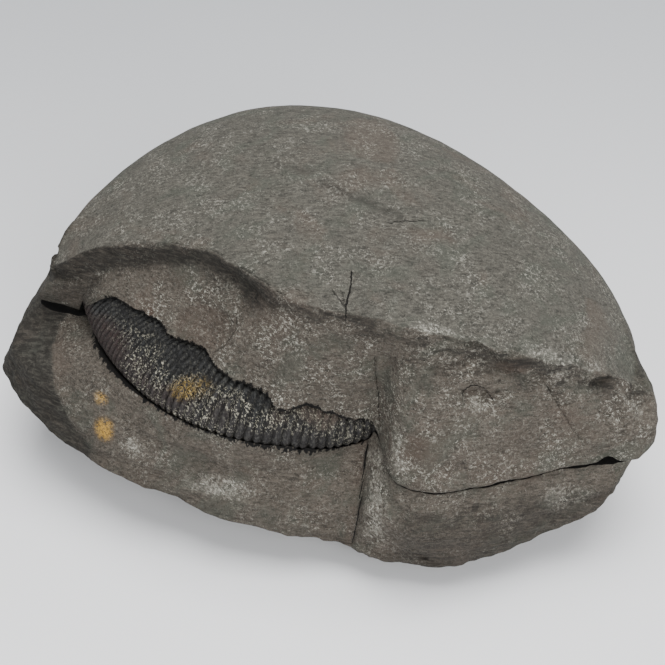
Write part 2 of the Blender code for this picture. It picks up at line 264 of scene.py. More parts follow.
# The rounded body, the coil and the split

@dataclass(frozen=True)
class RoundBody:
    """The unbroken stone: a squared ellipsoid, fuller at its shoulders than a plain one."""

    centre: tuple[float, float] = (0.9, 10.7)
    radii: tuple[float, float] = (61.8, 54.3)
    turn: float = math.radians(-35.0)
    crown: float = 27.3
    keel: float = 31.0
    plan_power: float = 2.28
    rise_power: float = 2.08

    def height(self, x: Array, y: Array, top: float | Array) -> Array:
        """Height over the plan: top times (1 - reach^rise)^(1/rise), where reach is 1 on the outline.

        Args:
            x: plan positions.
            y: plan positions.
            top: height at the centre.

        Returns:
            Height, 0 outside the outline.
        """
        cos_turn, sin_turn = math.cos(self.turn), math.sin(self.turn)
        dx, dy = x - self.centre[0], y - self.centre[1]
        along = np.abs(dx * cos_turn + dy * sin_turn) / self.radii[0]
        across = np.abs(-dx * sin_turn + dy * cos_turn) / self.radii[1]
        reach = (along ** self.plan_power + across ** self.plan_power) ** (1.0 / self.plan_power)
        return top * np.maximum(0.0, 1.0 - reach ** self.rise_power) ** (1.0 / self.rise_power)

    def keel_depth(self, x: Array, y: Array) -> Array:
        """Depth of the underside, which wears level while the stone leans."""
        return self.keel - 0.088 * (x - 10.0) + 0.08 * (y - 17.0)

    def reach(self, bearing: Array) -> Array:
        """Radius from the ring axis to the outline, found by stepping out along each bearing.

        Args:
            bearing: column bearings.

        Returns:
            One radius per bearing.
        """
        dx, dy = heading(bearing)
        radius = np.linspace(1.0, 130.0, 5200)
        inside = self.height(AXIS[0] + dx[:, None] * radius, AXIS[1] + dy[:, None] * radius, 1.0) > 0.0
        return radius[inside.sum(axis=1) - 1]


@dataclass(frozen=True)
class Coil:
    """The shell's winding: its outer radius shrinks by a constant share with each degree back."""

    centre: tuple[float, float] = (-9.0, 26.4)
    edge: float = 42.6
    growth: float = 0.07
    mouth: float = -163.0
    tall: float = 0.25
    wide: float = 0.18
    core: float = 0.75

    def outer(self, turn: Array) -> Array:
        """Outer radius, by degrees wound back from the mouth."""
        start = self.edge * math.exp(self.growth * math.radians(-90.0 - self.mouth))
        return start * np.exp(-self.growth * np.radians(turn))

    def middle(self, x: Array) -> Array:
        """Middle level of the shell, which lies slightly tipped in the stone."""
        return -0.5 - 0.045 * (x + 9.0)

    def half(self, radius: Array, turn: Array) -> Array:
        """Half thickness at a radius: the widest of the nested whorls, each an ellipse in section.

        Args:
            radius: distance from the coil's centre.
            turn: degrees wound back from the mouth.

        Returns:
            Half of the shell's thickness there.
        """
        half = np.full(np.broadcast(radius, turn).shape, self.core)
        for whorl in range(4):
            edge = self.outer(turn + 360.0 * whorl)
            share = (radius - edge * (1.0 - self.tall)) / (edge * self.tall)
            half = np.maximum(half, self.wide * edge * np.sqrt(np.maximum(0.0, 1.0 - share * share)))
        return half

    def flank(self, x: Array, y: Array, side: float) -> Array:
        """Level of the shell's upper or lower surface over the plan.

        Args:
            x: plan positions.
            y: plan positions.
            side: 1 for the upper surface, -1 for the lower.

        Returns:
            Height, or one far to the other side where the plan point lies outside the shell.
        """
        dx, dy = x - self.centre[0], y - self.centre[1]
        radius, turn = np.hypot(dx, dy), (np.degrees(np.arctan2(dy, dx)) - self.mouth) % 360.0
        level = self.middle(x) + side * self.half(radius, turn)
        return np.where(radius < self.outer(turn), level, -99.0 * side)


BODY = RoundBody()
COIL = Coil()


@dataclass(frozen=True)
class Split:
    """The gently waved crack between the halves, pushed aside round the coil."""

    gap: float = 0.14
    over_shell: float = 0.42
    under_shell: float = 0.10
    slot_depth: float = 1.75

    def level(self, x: Array, y: Array) -> Array:
        """Two slow sine waves across the plan."""
        return 0.45 * np.sin(x / 17.0 + 0.6) * np.cos(y / 23.0 - 0.4) + 0.12 * np.sin(x / 6.1 + y / 9.7)

    def face(self, x: Array, y: Array, side: float) -> Array:
        """Level of a half's split face: the crack plus its gap, or the coil's flank where that is farther.

        Args:
            x: plan positions.
            y: plan positions.
            side: 1 for the upper half, -1 for the lower.

        Returns:
            Height of the face.
        """
        level = self.level(x, y) + side * (self.gap + self.opening(x, y, side))
        if side > 0.0:
            return np.maximum(level, COIL.flank(x, y, side) + self.over_shell)
        return np.minimum(level, COIL.flank(x, y, side) - self.under_shell)

    def opening(self, x: Array, y: Array, side: float) -> Array:
        """Extra gap: a dark slot at the left end, and an arched notch near the right end.

        Args:
            x: plan positions.
            y: plan positions.
            side: 1 for the upper half, which has the notch, -1 for the lower, which has the slot.

        Returns:
            How far the face draws back from the crack.
        """
        if side < 0.0:
            slot = ease(-50.6, -53.5, x) * (1.0 - ease(-58.0, -62.5, x) * 0.8) * ease(16.5, 11.0, y)
            return self.slot_depth * slot
        return 2.1 * np.exp(-((x - 55.6) / 2.4) ** 2 - ((y + 10.0) / 4.0) ** 2)


SPLIT = Split()


# Measured edges of the broken front

@dataclass(frozen=True)
class Edge:
    """A line round the stone through a few points, read by bearing about the ring axis.

    The points are (x, y, z), or (x, y) where only the radius is read.
    """

    points: tuple[tuple[float, ...], ...]
    soft: float = 0.5

    def read(self, bearing: Array) -> list[Array]:
        """Values straight between the points, then blurred by a bell curve of soft degrees.

        Args:
            bearing: column bearings.

        Returns:
            Radius about the ring axis, and height where the points have one.
        """
        points = np.asarray(self.points, float)
        offset = points[:, :2] - np.array(AXIS)
        at = (np.degrees(np.arctan2(offset[:, 1], offset[:, 0])) + 270.0) % 360.0
        order = np.argsort(at)
        spread = np.linspace(-2.0 * self.soft, 2.0 * self.soft, 9)
        weight = np.exp(-0.5 * (spread / self.soft) ** 2)
        sample = bearing[:, None] + spread
        known = [np.hypot(offset[:, 0], offset[:, 1]), *points[:, 2:].T]
        return [(np.interp(sample, at[order], values[order]) * weight).sum(axis=1) / weight.sum()
                for values in known]


CROWN_EDGE = Edge((
    (-57.6, 20.0), (-58.7, 13.7), (-55.3, 11.5), (-51.1, 12.4), (-46.7, 12.4), (-42.4, 12.0),
    (-37.8, 11.6), (-33.8, 11.1), (-29.6, 10.2), (-25.4, 9.0), (-20.2, 6.0), (-16.4, 3.6), (-13.2, 1.4),
    (-10.3, -0.2), (-7.5, -1.2), (-1.9, -2.0), (7.3, -2.2), (14.8, -3.2), (26.0, -2.9), (33.7, -2.2),
    (43.8, -1.4), (50.3, 0.5), (58.6, 3.4), (59.6, 8.0), (58.2, 13.0)))
BAND_FOOT = Edge((
    (-58.8, 20.0, 4.0), (-59.8, 13.5, 4.5), (-56.5, 10.6, 7.6), (-52.0, 11.2, 10.2), (-47.0, 11.2, 12.6),
    (-43.2, 10.9, 14.6), (-38.0, 10.3, 16.5), (-33.0, 10.0, 19.2), (-27.7, 8.9, 21.4), (-22.6, 6.7, 21.4),
    (-17.3, 2.9, 20.6), (-13.7, 0.2, 22.2), (-7.5, -2.0, 24.4), (0.0, -3.0, 24.7), (6.5, -3.2, 24.6),
    (14.9, -4.4, 24.4), (26.2, -4.4, 22.6), (34.0, -4.0, 20.5), (44.2, -3.2, 17.0), (51.0, -1.5, 14.0),
    (62.2, 1.0, 9.8), (62.8, 6.4, 7.8), (59.8, 13.0, 7.0)))
UPPER_RIM = Edge((
    (-59.6, 20.0), (-60.8, 14.5), (-61.6, 9.6), (-56.7, 9.1), (-51.4, 8.3), (-50.4, 6.9), (-49.0, 6.2),
    (-46.2, 6.6), (-44.2, 6.5), (-42.6, 5.8), (-40.8, 4.4), (-38.4, 3.3), (-34.6, 1.6), (-33.2, -0.1),
    (-31.7, -1.0), (-29.4, -1.8), (-25.4, -2.7), (-23.9, -4.4), (-22.2, -6.2), (-18.7, -8.4),
    (-15.2, -8.6), (-11.8, -9.7), (-10.3, -11.9), (-8.7, -12.3), (-6.6, -11.8), (-4.0, -10.8),
    (2.4, -10.7), (5.3, -11.2), (7.2, -10.3), (9.2, -9.6), (10.3, -10.9), (11.4, -14.1), (12.8, -18.3),
    (14.9, -21.1), (17.9, -22.2), (22.7, -22.3), (29.3, -20.1), (36.9, -17.1), (46.6, -13.1),
    (52.5, -11.2), (57.4, -10.0), (62.4, -8.3), (65.3, -4.4), (64.4, 3.0), (60.6, 12.0)), 0.25)
LOWER_LIP = Edge((
    (-51.9, 43.0, 0.0), (-56.3, 35.0, 0.0), (-59.1, 27.0, 0.0), (-60.2, 20.0, -0.3), (-60.9, 14.5, -0.8),
    (-61.4, 9.4, -2.8), (-58.5, 8.8, -3.2), (-54.0, 8.6, -3.4), (-50.4, 7.6, -3.2), (-49.2, 4.2, -1.6),
    (-47.8, 1.8, -0.4), (-45.8, -1.4, -0.3), (-42.0, -5.2, -0.3), (-38.5, -8.0, -0.3), (-33.8, -11.1, -0.3),
    (-28.0, -13.9, -0.3), (-21.2, -15.7, -0.3), (-14.8, -16.6, -0.3), (-10.4, -16.8, -0.8),
    (-6.0, -16.3, -1.6), (-3.4, -15.6, -2.2), (-0.1, -14.5, -3.0), (4.6, -12.4, -3.0), (8.8, -10.0, -2.0),
    (10.3, -10.9, 0.0), (11.4, -14.1, 0.0), (12.8, -18.3, 0.0), (14.9, -21.1, 0.0), (17.9, -22.2, 0.0),
    (22.7, -22.3, 0.0), (29.3, -20.1, 0.0), (36.9, -17.1, 0.0), (46.6, -13.1, 0.0), (52.5, -11.2, 0.0),
    (57.2, -10.0, -0.5), (61.0, -8.2, -0.8), (61.4, -3.0, -0.4), (60.3, 4.0, 0.0), (59.9, 12.0, 0.0)), 0.3)
LOWER_FACE = Edge((
    (-53.5, 43.0, -6.0), (-58.4, 35.0, -6.0), (-61.6, 27.0, -6.0), (-63.3, 20.0, -6.0), (-64.7, 13.5, -6.0),
    (-65.6, 7.0, -6.0), (-65.4, 1.4, -6.4), (-61.0, -4.0, -7.0), (-54.2, -7.8, -8.0), (-46.4, -11.4, -8.0),
    (-36.2, -15.8, -8.5), (-27.0, -18.3, -9.0), (-18.0, -20.5, -9.5), (-9.5, -21.5, -10.0),
    (-1.0, -22.0, -10.5), (5.5, -21.3, -10.5), (9.2, -20.4, -10.0), (10.8, -22.4, -8.0),
    (14.3, -25.8, -7.0), (19.5, -27.5, -7.0), (26.0, -27.2, -7.0), (33.0, -25.0, -7.0),
    (41.0, -21.0, -6.5), (50.4, -16.2, -5.0), (58.2, -12.6, -3.5), (62.0, -7.0, -3.0), (61.6, 2.0, -3.0),
    (60.2, 12.0, -3.0)), 0.4)
LOWER_BELLY = Edge((
    (-54.5, 43.0, -12.0), (-59.6, 35.0, -12.5), (-63.3, 27.0, -13.0), (-65.4, 20.0, -13.5),
    (-67.2, 13.5, -13.8), (-68.4, 7.0, -14.0), (-68.8, 0.4, -14.0), (-61.0, -8.2, -15.0),
    (-54.0, -13.2, -16.0), (-46.6, -16.8, -16.0), (-35.6, -21.0, -16.0), (-26.6, -23.3, -16.0),
    (-17.9, -25.2, -16.4), (-9.7, -26.3, -17.0), (0.5, -26.9, -18.0), (8.8, -27.0, -18.4),
    (10.6, -28.2, -18.6), (19.0, -29.0, -19.0), (26.8, -28.7, -18.0), (34.6, -26.7, -17.0),
    (42.1, -23.2, -15.0), (48.0, -19.9, -13.0), (54.4, -17.1, -10.0), (59.0, -13.2, -7.0),
    (61.6, -6.9, -6.5), (60.4, 2.0, -7.0), (59.8, 12.0, -7.0)), 0.6)
# How far the upper face swells out (+) or hollows in (-), by bearing in degrees
FACE_SWELL = ((100, 0.0), (120, 0.0), (150, -0.8), (172, -0.6), (176.5, -0.2), (180, 0.9), (215, 0.6),
              (226, 1.2), (231, 2.6), (236, 1.5), (246, 0.0))

CROWN_CRACKS = (
    Crack(((1.1, 7.2, 26.8), (1.3, 3.7, 26.5), (0.9, -0.4, 26.2), (1.1, -2.5, 25.9)), 1.0, 0.4),
    Crack(((-1.9, 2.5, 26.5), (0.6, -0.4, 26.3)), 0.6, 0.35),
    Crack(((7.1, 20.8, 26.3), (10.0, 22.1, 26.0), (13.4, 23.2, 25.6)), 0.7, 0.15),
    Crack(((38.4, -3.9, 18.3), (42.3, -6.4, 14.2), (46.4, -8.3, 9.3), (49.9, -9.6, 5.2)), 0.28, 0.4),
    Crack(((7.6, -5.2, 17.8), (8.3, -6.4, 14.3), (9.5, -7.5, 9.3), (10.0, -9.0, 5.6), (10.7, -10.5, 3.8)),
          1.0, 0.45),
    Crack(((-19.2, 0.7, 16.1), (-19.1, -1.2, 14.9), (-20.7, -2.8, 11.9), (-22.7, -3.5, 9.9)), 0.4, 0.15),
    # This line rings a dent in the broken face; its black arch is painted shadow on the dent's upper rim,
    # over a cut groove.
    Crack(((24.6, -9.9, 16.5), (24.4, -9.4, 17.3), (26.1, -8.3, 18.4), (28.4, -8.3, 17.7),
           (30.3, -8.8, 15.3)), 1.0, 0.5),
)
BASE_CRACKS = (
    # The first line is the concave crease beside the step; its dark line is painted shade in the crease, over
    # a cut groove.
    Crack(((9.0, -11.6, -3.0), (9.0, -14.0, -5.0), (9.1, -17.4, -7.3), (9.2, -20.4, -9.8),
           (9.2, -22.9, -13.3), (9.0, -26.2, -17.5)), 1.0, 0.7),
    Crack(((9.0, -26.2, -17.5), (7.3, -26.4, -17.6), (5.6, -26.0, -17.0)), 0.6, 0.3),
)

# Soft marks of the stones' and the shell's colours: amount, place or line, reach
CROWN_STAINS = (
    Patch(0.3, ((-25.5, 0.4, 12.2),), (7.0, 5.0, 5.2), 0.7),
    Patch(0.6, ((32.7, -4.4, 20.5),), (5.5, 4.0, 2.6)),
    Patch(0.4, ((17.4, -17.0, 6.6),), (3.4, 3.4, 6.0)),
    Patch(1.2, ((-36.8, 3.6, 10.6), (-36.2, 2.8, 9.2)), 1.2),
)
CROWN_PALE = (
    Patch(1.0, ((14.3, -14.6, 9.0), (14.6, -17.2, 5.4), (16.0, -19.4, 2.6)), 2.4),
    Patch(0.8, ((27.6, -9.8, 15.2),), (3.0, 2.6, 2.6)),
    Patch(0.8, ((56.0, -0.6, 10.6), (59.4, -2.2, 7.6)), 2.2),
    Patch(0.8, ((17.5, -2.0, 25.0),), (6.0, 1.8, 1.8)),
    Patch(0.6, ((36.0, -1.4, 21.4), (44.0, -0.8, 18.6), (50.0, 1.0, 15.2)), 2.6),
    Patch(0.6, ((42.0, -2.6, 16.5),), (3.2, 3.0, 4.5)),
    Patch(1.4, ((-28.6, -1.6, 8.4), (-26.1, -2.5, 8.2)), 0.7),
)
BASE_OCHRE = (
    Patch(1.2, ((-44.2, -7.3, -6.0),), (2.6, 2.6, 2.6)),
    Patch(1.2, ((-42.9, -11.8, -9.8),), (3.2, 3.6, 3.6)),
    Patch(0.7, ((-44.2, -7.3, -6.0), (-42.9, -11.8, -9.8), (-40.6, -13.6, -11.4)), 1.7),
)
BASE_PALE = (
    Patch(0.7, ((-37.0, -14.6, -10.4),), (4.0, 3.5, 3.5)),
    Patch(0.75, ((-18.5, -20.8, -11.5),), (9.0, 3.0, 4.0)),
    Patch(0.5, ((47.8, -15.8, -5.0),), (8.0, 4.0, 3.5)),
    Patch(0.5, ((13.0, -21.0, -4.0), (12.6, -25.0, -10.0)), 2.4),
    Patch(0.7, ((11.6, -15.0, -3.0), (12.6, -21.0, -6.0), (12.2, -26.0, -12.0)), 4.8),
)
SHELL_YELLOW = (
    Patch(1.0, ((-28.0, -10.4, 5.6),), (3.6, 2.6, 3.0)),
    Patch(0.5, ((-25.5, -9.5, 6.0),), (5.0, 3.0, 3.0)),
)
# The small round pit low on the front of the lower half
PIT = (23.1, -28.3, -15.6)


# Grids to meshes

def lean_matrix() -> Matrix:
    """Turn and shift from the stone's own frame in millimetres to the floor's frame in metres.

    Returns:
        The matrix.
    """
    turn = Matrix.Identity(4)
    for axis, angle in zip("XYZ", LEAN):
        turn = turn @ Matrix.Rotation(math.radians(angle), 4, axis)
    return Matrix.Translation(Vector(REST_SHIFT) * MM) @ turn @ Matrix.Scale(MM, 4)


def to_floor(points: Array) -> Array:
    """Positions in the stone's frame moved to the floor's frame, in metres."""
    matrix = np.array(lean_matrix())
    return points @ matrix[:3, :3].T + matrix[:3, 3]


def normals_of(grid: Array) -> Array:
    """Unit normals of a grid of columns round the stone: the cross product of its two tangents.

    Args:
        grid: columns by rows by 3.

    Returns:
        One normal per grid point.
    """
    along = np.gradient(grid, axis=1)
    around = np.roll(grid, -1, axis=0) - np.roll(grid, 1, axis=0)
    normal = np.cross(along, around)
    return normal / np.maximum(np.linalg.norm(normal, axis=-1, keepdims=True), 1e-9)


def blurred(rows: Array, reach: Array, passes: int) -> Array:
    """Columns smoothed along their length: each pass moves a sample towards its neighbours' mean.

    Args:
        rows: columns by rows of one value.
        reach: 0 to 1, how far each sample moves in a pass.
        passes: how many passes.

    Returns:
        The smoothed values.
    """
    smooth = rows.copy()
    for _ in range(passes):
        middle = 0.5 * (smooth[:, :-2] + smooth[:, 2:])
        smooth[:, 1:-1] += reach[:, 1:-1] * (middle - smooth[:, 1:-1])
    return smooth


def resample(grid: Array, start: Array, stop: Array, shares: Array) -> Array:
    """Points along each column at the given shares of the length between two fractional rows.

    Args:
        grid: columns by rows by channels, the first three channels a position.
        start: fractional row where each column starts.
        stop: fractional row where it stops.
        shares: 0 to 1, where along the length each new row lies.

    Returns:
        Columns by new rows by channels.
    """
    steps = np.linalg.norm(np.diff(grid[..., :3], axis=1), axis=2)
    length = np.concatenate([np.zeros((len(grid), 1)), np.cumsum(steps, axis=1)], axis=1)
    rows = np.arange(grid.shape[1])
    columns = []
    for index, column in enumerate(grid):
        first, last = np.interp([start[index], stop[index]], rows, length[index])
        at = np.interp(first + (last - first) * shares, length[index], rows)
        low = np.minimum(at.astype(int), grid.shape[1] - 2)
        columns.append(column[low] + (column[low + 1] - column[low]) * (at - low)[:, None])
    return np.stack(columns)


def first_below(value: Array) -> Array:
    """Fractional row where each column's value first drops below zero.

    Args:
        value: columns by rows.

    Returns:
        One row per column, by straight interpolation between the two samples round zero.
    """
    row = np.maximum(np.argmax(value < 0.0, axis=1), 1)
    pick = np.arange(len(value))
    before, after = value[pick, row - 1], value[pick, row]
    return row - 1 + before / (before - after)


def mesh_of_grid(name: str, grid: Array, marks: dict[str, Array]) -> bpy.types.Object:
    """Closed mesh from columns round the stone, with a fan at either end.

    Args:
        name: the new object's name.
        grid: columns by rows by 3, positions in the stone's frame; rows run from one pole to the other.
        marks: float attributes, each columns by rows.

    Returns:
        The object, at the origin with its place in its mesh.
    """
    columns, rows = grid.shape[:2]
    count = rows - 2
    points = np.concatenate([grid[:, 1:-1].reshape(-1, 3), grid[:1, 0], grid[:1, -1]])
    column = np.arange(columns)
    beside = (column + 1) % columns
    here = (column[:, None] * count + np.arange(count - 1)[None]).ravel()
    there = (beside[:, None] * count + np.arange(count - 1)[None]).ravel()
    quads = np.stack([here, here + 1, there + 1, there], axis=1)
    first, last = columns * count, columns * count + 1
    fan_top = np.stack([np.full(columns, first), column * count, beside * count], axis=1)
    fan_end = np.stack([np.full(columns, last), (beside + 1) * count - 1, (column + 1) * count - 1], axis=1)
    mesh = bpy.data.meshes.new(name)
    mesh.from_pydata(to_floor(points).tolist(), [], quads.tolist() + fan_top.tolist() + fan_end.tolist())
    for label, values in {"stone": grid, **marks}.items():
        vector = values.ndim == 3
        kept = values[:, 1:-1].reshape(-1, 3) if vector else values[:, 1:-1].ravel()
        flat = np.concatenate([kept, values[:1, 0], values[:1, -1]]).astype(np.float32)
        attribute = mesh.attributes.new(label, "FLOAT_VECTOR" if vector else "FLOAT", "POINT")
        attribute.data.foreach_set("vector" if vector else "value", flat.ravel())
    mesh.polygons.foreach_set("use_smooth", np.ones(len(mesh.polygons), bool))
    mesh.update()
    if signed_volume(mesh) < 0.0:
        mesh.flip_normals()
    obj = bpy.data.objects.new(name, mesh)
    bpy.context.scene.collection.objects.link(obj)
    return obj


def signed_volume(mesh: bpy.types.Mesh) -> float:
    """Volume by summing the tetrahedra from the origin to each triangle.

    Args:
        mesh: a closed mesh.

    Returns:
        Cubic metres, negative when the faces point inwards.
    """
    mesh.calc_loop_triangles()
    corners = np.empty(len(mesh.loop_triangles) * 3, np.int32)
    mesh.loop_triangles.foreach_get("vertices", corners)
    place = np.empty(len(mesh.vertices) * 3, np.float32)
    mesh.vertices.foreach_get("co", place)
    corner = place.reshape(-1, 3)[corners.reshape(-1, 3)].astype(float)
    return float(np.einsum("ij,ij->i", corner[:, 0], np.cross(corner[:, 1], corner[:, 2])).sum() / 6.0)


# Shader expressions

class Signal:
    """A number that varies over a surface; arithmetic on it adds Math nodes."""

    def __init__(self, graph: "Graph", socket: bpy.types.NodeSocket) -> None:
        """Wrap an output socket of the graph."""
        self.graph = graph
        self.socket = socket

    def math(self, operation: str, *others: Any) -> "Signal":
        """One Math node on this signal and the others."""
        node = self.graph.node("ShaderNodeMath", {"operation": operation}, dict(enumerate((self, *others))))
        return Signal(self.graph, node.outputs[0])

    def __add__(self, other: Any) -> "Signal":
        """Sum."""
        return self.math("ADD", other)

    __radd__ = __add__

    def __mul__(self, other: Any) -> "Signal":
        """Product."""
        return self.math("MULTIPLY", other)

    __rmul__ = __mul__

    def __sub__(self, other: Any) -> "Signal":
        """Difference."""
        return self.math("SUBTRACT", other)

    def __rsub__(self, other: Any) -> "Signal":
        """Difference from a plain number."""
        return (self * -1.0) + other

    def size(self) -> "Signal":
        """Absolute value."""
        return self.math("ABSOLUTE")

    def cap(self, most: float = 1.0) -> "Signal":
        """The smaller of this and the most."""
        return self.math("MINIMUM", most)

    def step(self, low: float, high: float) -> "Signal":
        """Smooth step.

        Args:
            low: value where it leaves 0.
            high: value where it reaches 1.

        Returns:
            The step.
        """
        sockets = {"Value": self, "From Min": low, "From Max": high}
        node = self.graph.node("ShaderNodeMapRange", {"interpolation_type": "SMOOTHSTEP"}, sockets)
        return Signal(self.graph, node.outputs["Result"])


@dataclass
class Graph:
    """One material's node tree, with short ways to add the nodes it needs."""

    material: bpy.types.Material
    tree: bpy.types.NodeTree = field(init=False)

    def __post_init__(self) -> None:
        """Start from an empty tree."""
        self.material.use_nodes = True
        self.tree = self.material.node_tree
        self.tree.nodes.clear()

    def node(self, kind: str, settings: dict[str, Any] | None = None,
             inputs: dict[Any, Any] | None = None) -> bpy.types.Node:
        """Add a node, apply its settings, then set or link its inputs.

        Args:
            kind: the node's type name.
            settings: properties of the node, set first.
            inputs: socket name or index to a value, a Signal or a socket.

        Returns:
            The node.
        """
        node = self.tree.nodes.new(kind)
        for key, value in (settings or {}).items():
            setattr(node, key, value)
        for key, value in (inputs or {}).items():
            source = value.socket if isinstance(value, Signal) else value
            if isinstance(source, bpy.types.NodeSocket):
                self.tree.links.new(source, node.inputs[key])
            else:
                node.inputs[key].default_value = source
        return node

    def mark(self, name: str) -> Signal:
        """A float attribute of the mesh."""
        return Signal(self, self.node("ShaderNodeAttribute", {"attribute_name": name}).outputs["Fac"])

    def place(self) -> bpy.types.NodeSocket:
        """Position in the stone's frame, in millimetres."""
        return self.node("ShaderNodeAttribute", {"attribute_name": "stone"}).outputs["Vector"]

    def grained(self, turn: Point, scale: Point) -> bpy.types.NodeSocket:
        """Position turned, then scaled along each axis, so a pattern on it runs one way.

        Args:
            turn: degrees about each axis.
            scale: scale along each axis.

        Returns:
            The position socket.
        """
        turned = self.node("ShaderNodeMapping", {"vector_type": "TEXTURE"},
                           {"Vector": self.place(), "Rotation": tuple(math.radians(a) for a in turn)})
        scaled = self.node("ShaderNodeMapping", {"vector_type": "POINT"},
                           {"Vector": turned.outputs[0], "Scale": tuple(scale)})
        return scaled.outputs[0]

    def noise(self, vector: bpy.types.NodeSocket, scale: float, detail: float = 3.0, rough: float = 0.5,
              warp: float = 0.0) -> Signal:
        """Layered noise from about 0 to 1 on a position.

        Args:
            vector: position socket.
            scale: features per millimetre.
            detail: how many finer layers.
            rough: how strong the finer layers are.
            warp: how far the noise is bent by itself.

        Returns:
            The noise.
        """
        node = self.node("ShaderNodeTexNoise", None, {"Vector": vector, "Scale": scale, "Detail": detail,
                                                      "Roughness": rough, "Distortion": warp})
        return Signal(self, node.outputs["Fac"])

    def worms(self, vector: bpy.types.NodeSocket, scale: float, width: float, warp: float = 0.0) -> Signal:
        """Thin wandering lines: 1 where a noise crosses its middle value, 0 a width away."""
        return 1.0 - (self.noise(vector, scale, 1.0, 0.5, warp) - 0.5).size().step(0.0, width)

    def blend(self, share: Any, first: Any, second: Any) -> bpy.types.NodeSocket:
        """Colour mixed from first to second by the share."""
        settings = {"data_type": "RGBA", "blend_type": "MIX", "clamp_factor": True}
        return self.node("ShaderNodeMix", settings, {0: share, 6: first, 7: second}).outputs[2]

    def finish(self, colour: Any, roughness: Any, height: Signal, depth: float, specular: float) -> None:
        """Close the tree with a Bump node and a Principled shader.

        Args:
            colour: base colour socket.
            roughness: roughness signal.
            height: bump height signal.
            depth: bump distance in metres.
            specular: specular level of the surface.
        """
        bump = self.node("ShaderNodeBump", None, {"Height": height, "Strength": 1.0, "Distance": depth})
        shader = self.node("ShaderNodeBsdfPrincipled", None, {
            "Base Color": colour, "Roughness": roughness, "Normal": bump.outputs[0],
            "Specular IOR Level": specular})
        output = self.node("ShaderNodeOutputMaterial")
        self.tree.links.new(shader.outputs[0], output.inputs["Surface"])


def linear(red: float, green: float, blue: float) -> tuple[float, float, float, float]:
    """Linear colour from display values of 0 to 255."""
    values = [channel / 255.0 for channel in (red, green, blue)]
    return (*[v / 12.92 if v <= 0.04045 else ((v + 0.055) / 1.055) ** 2.4 for v in values], 1.0)


# Finishes

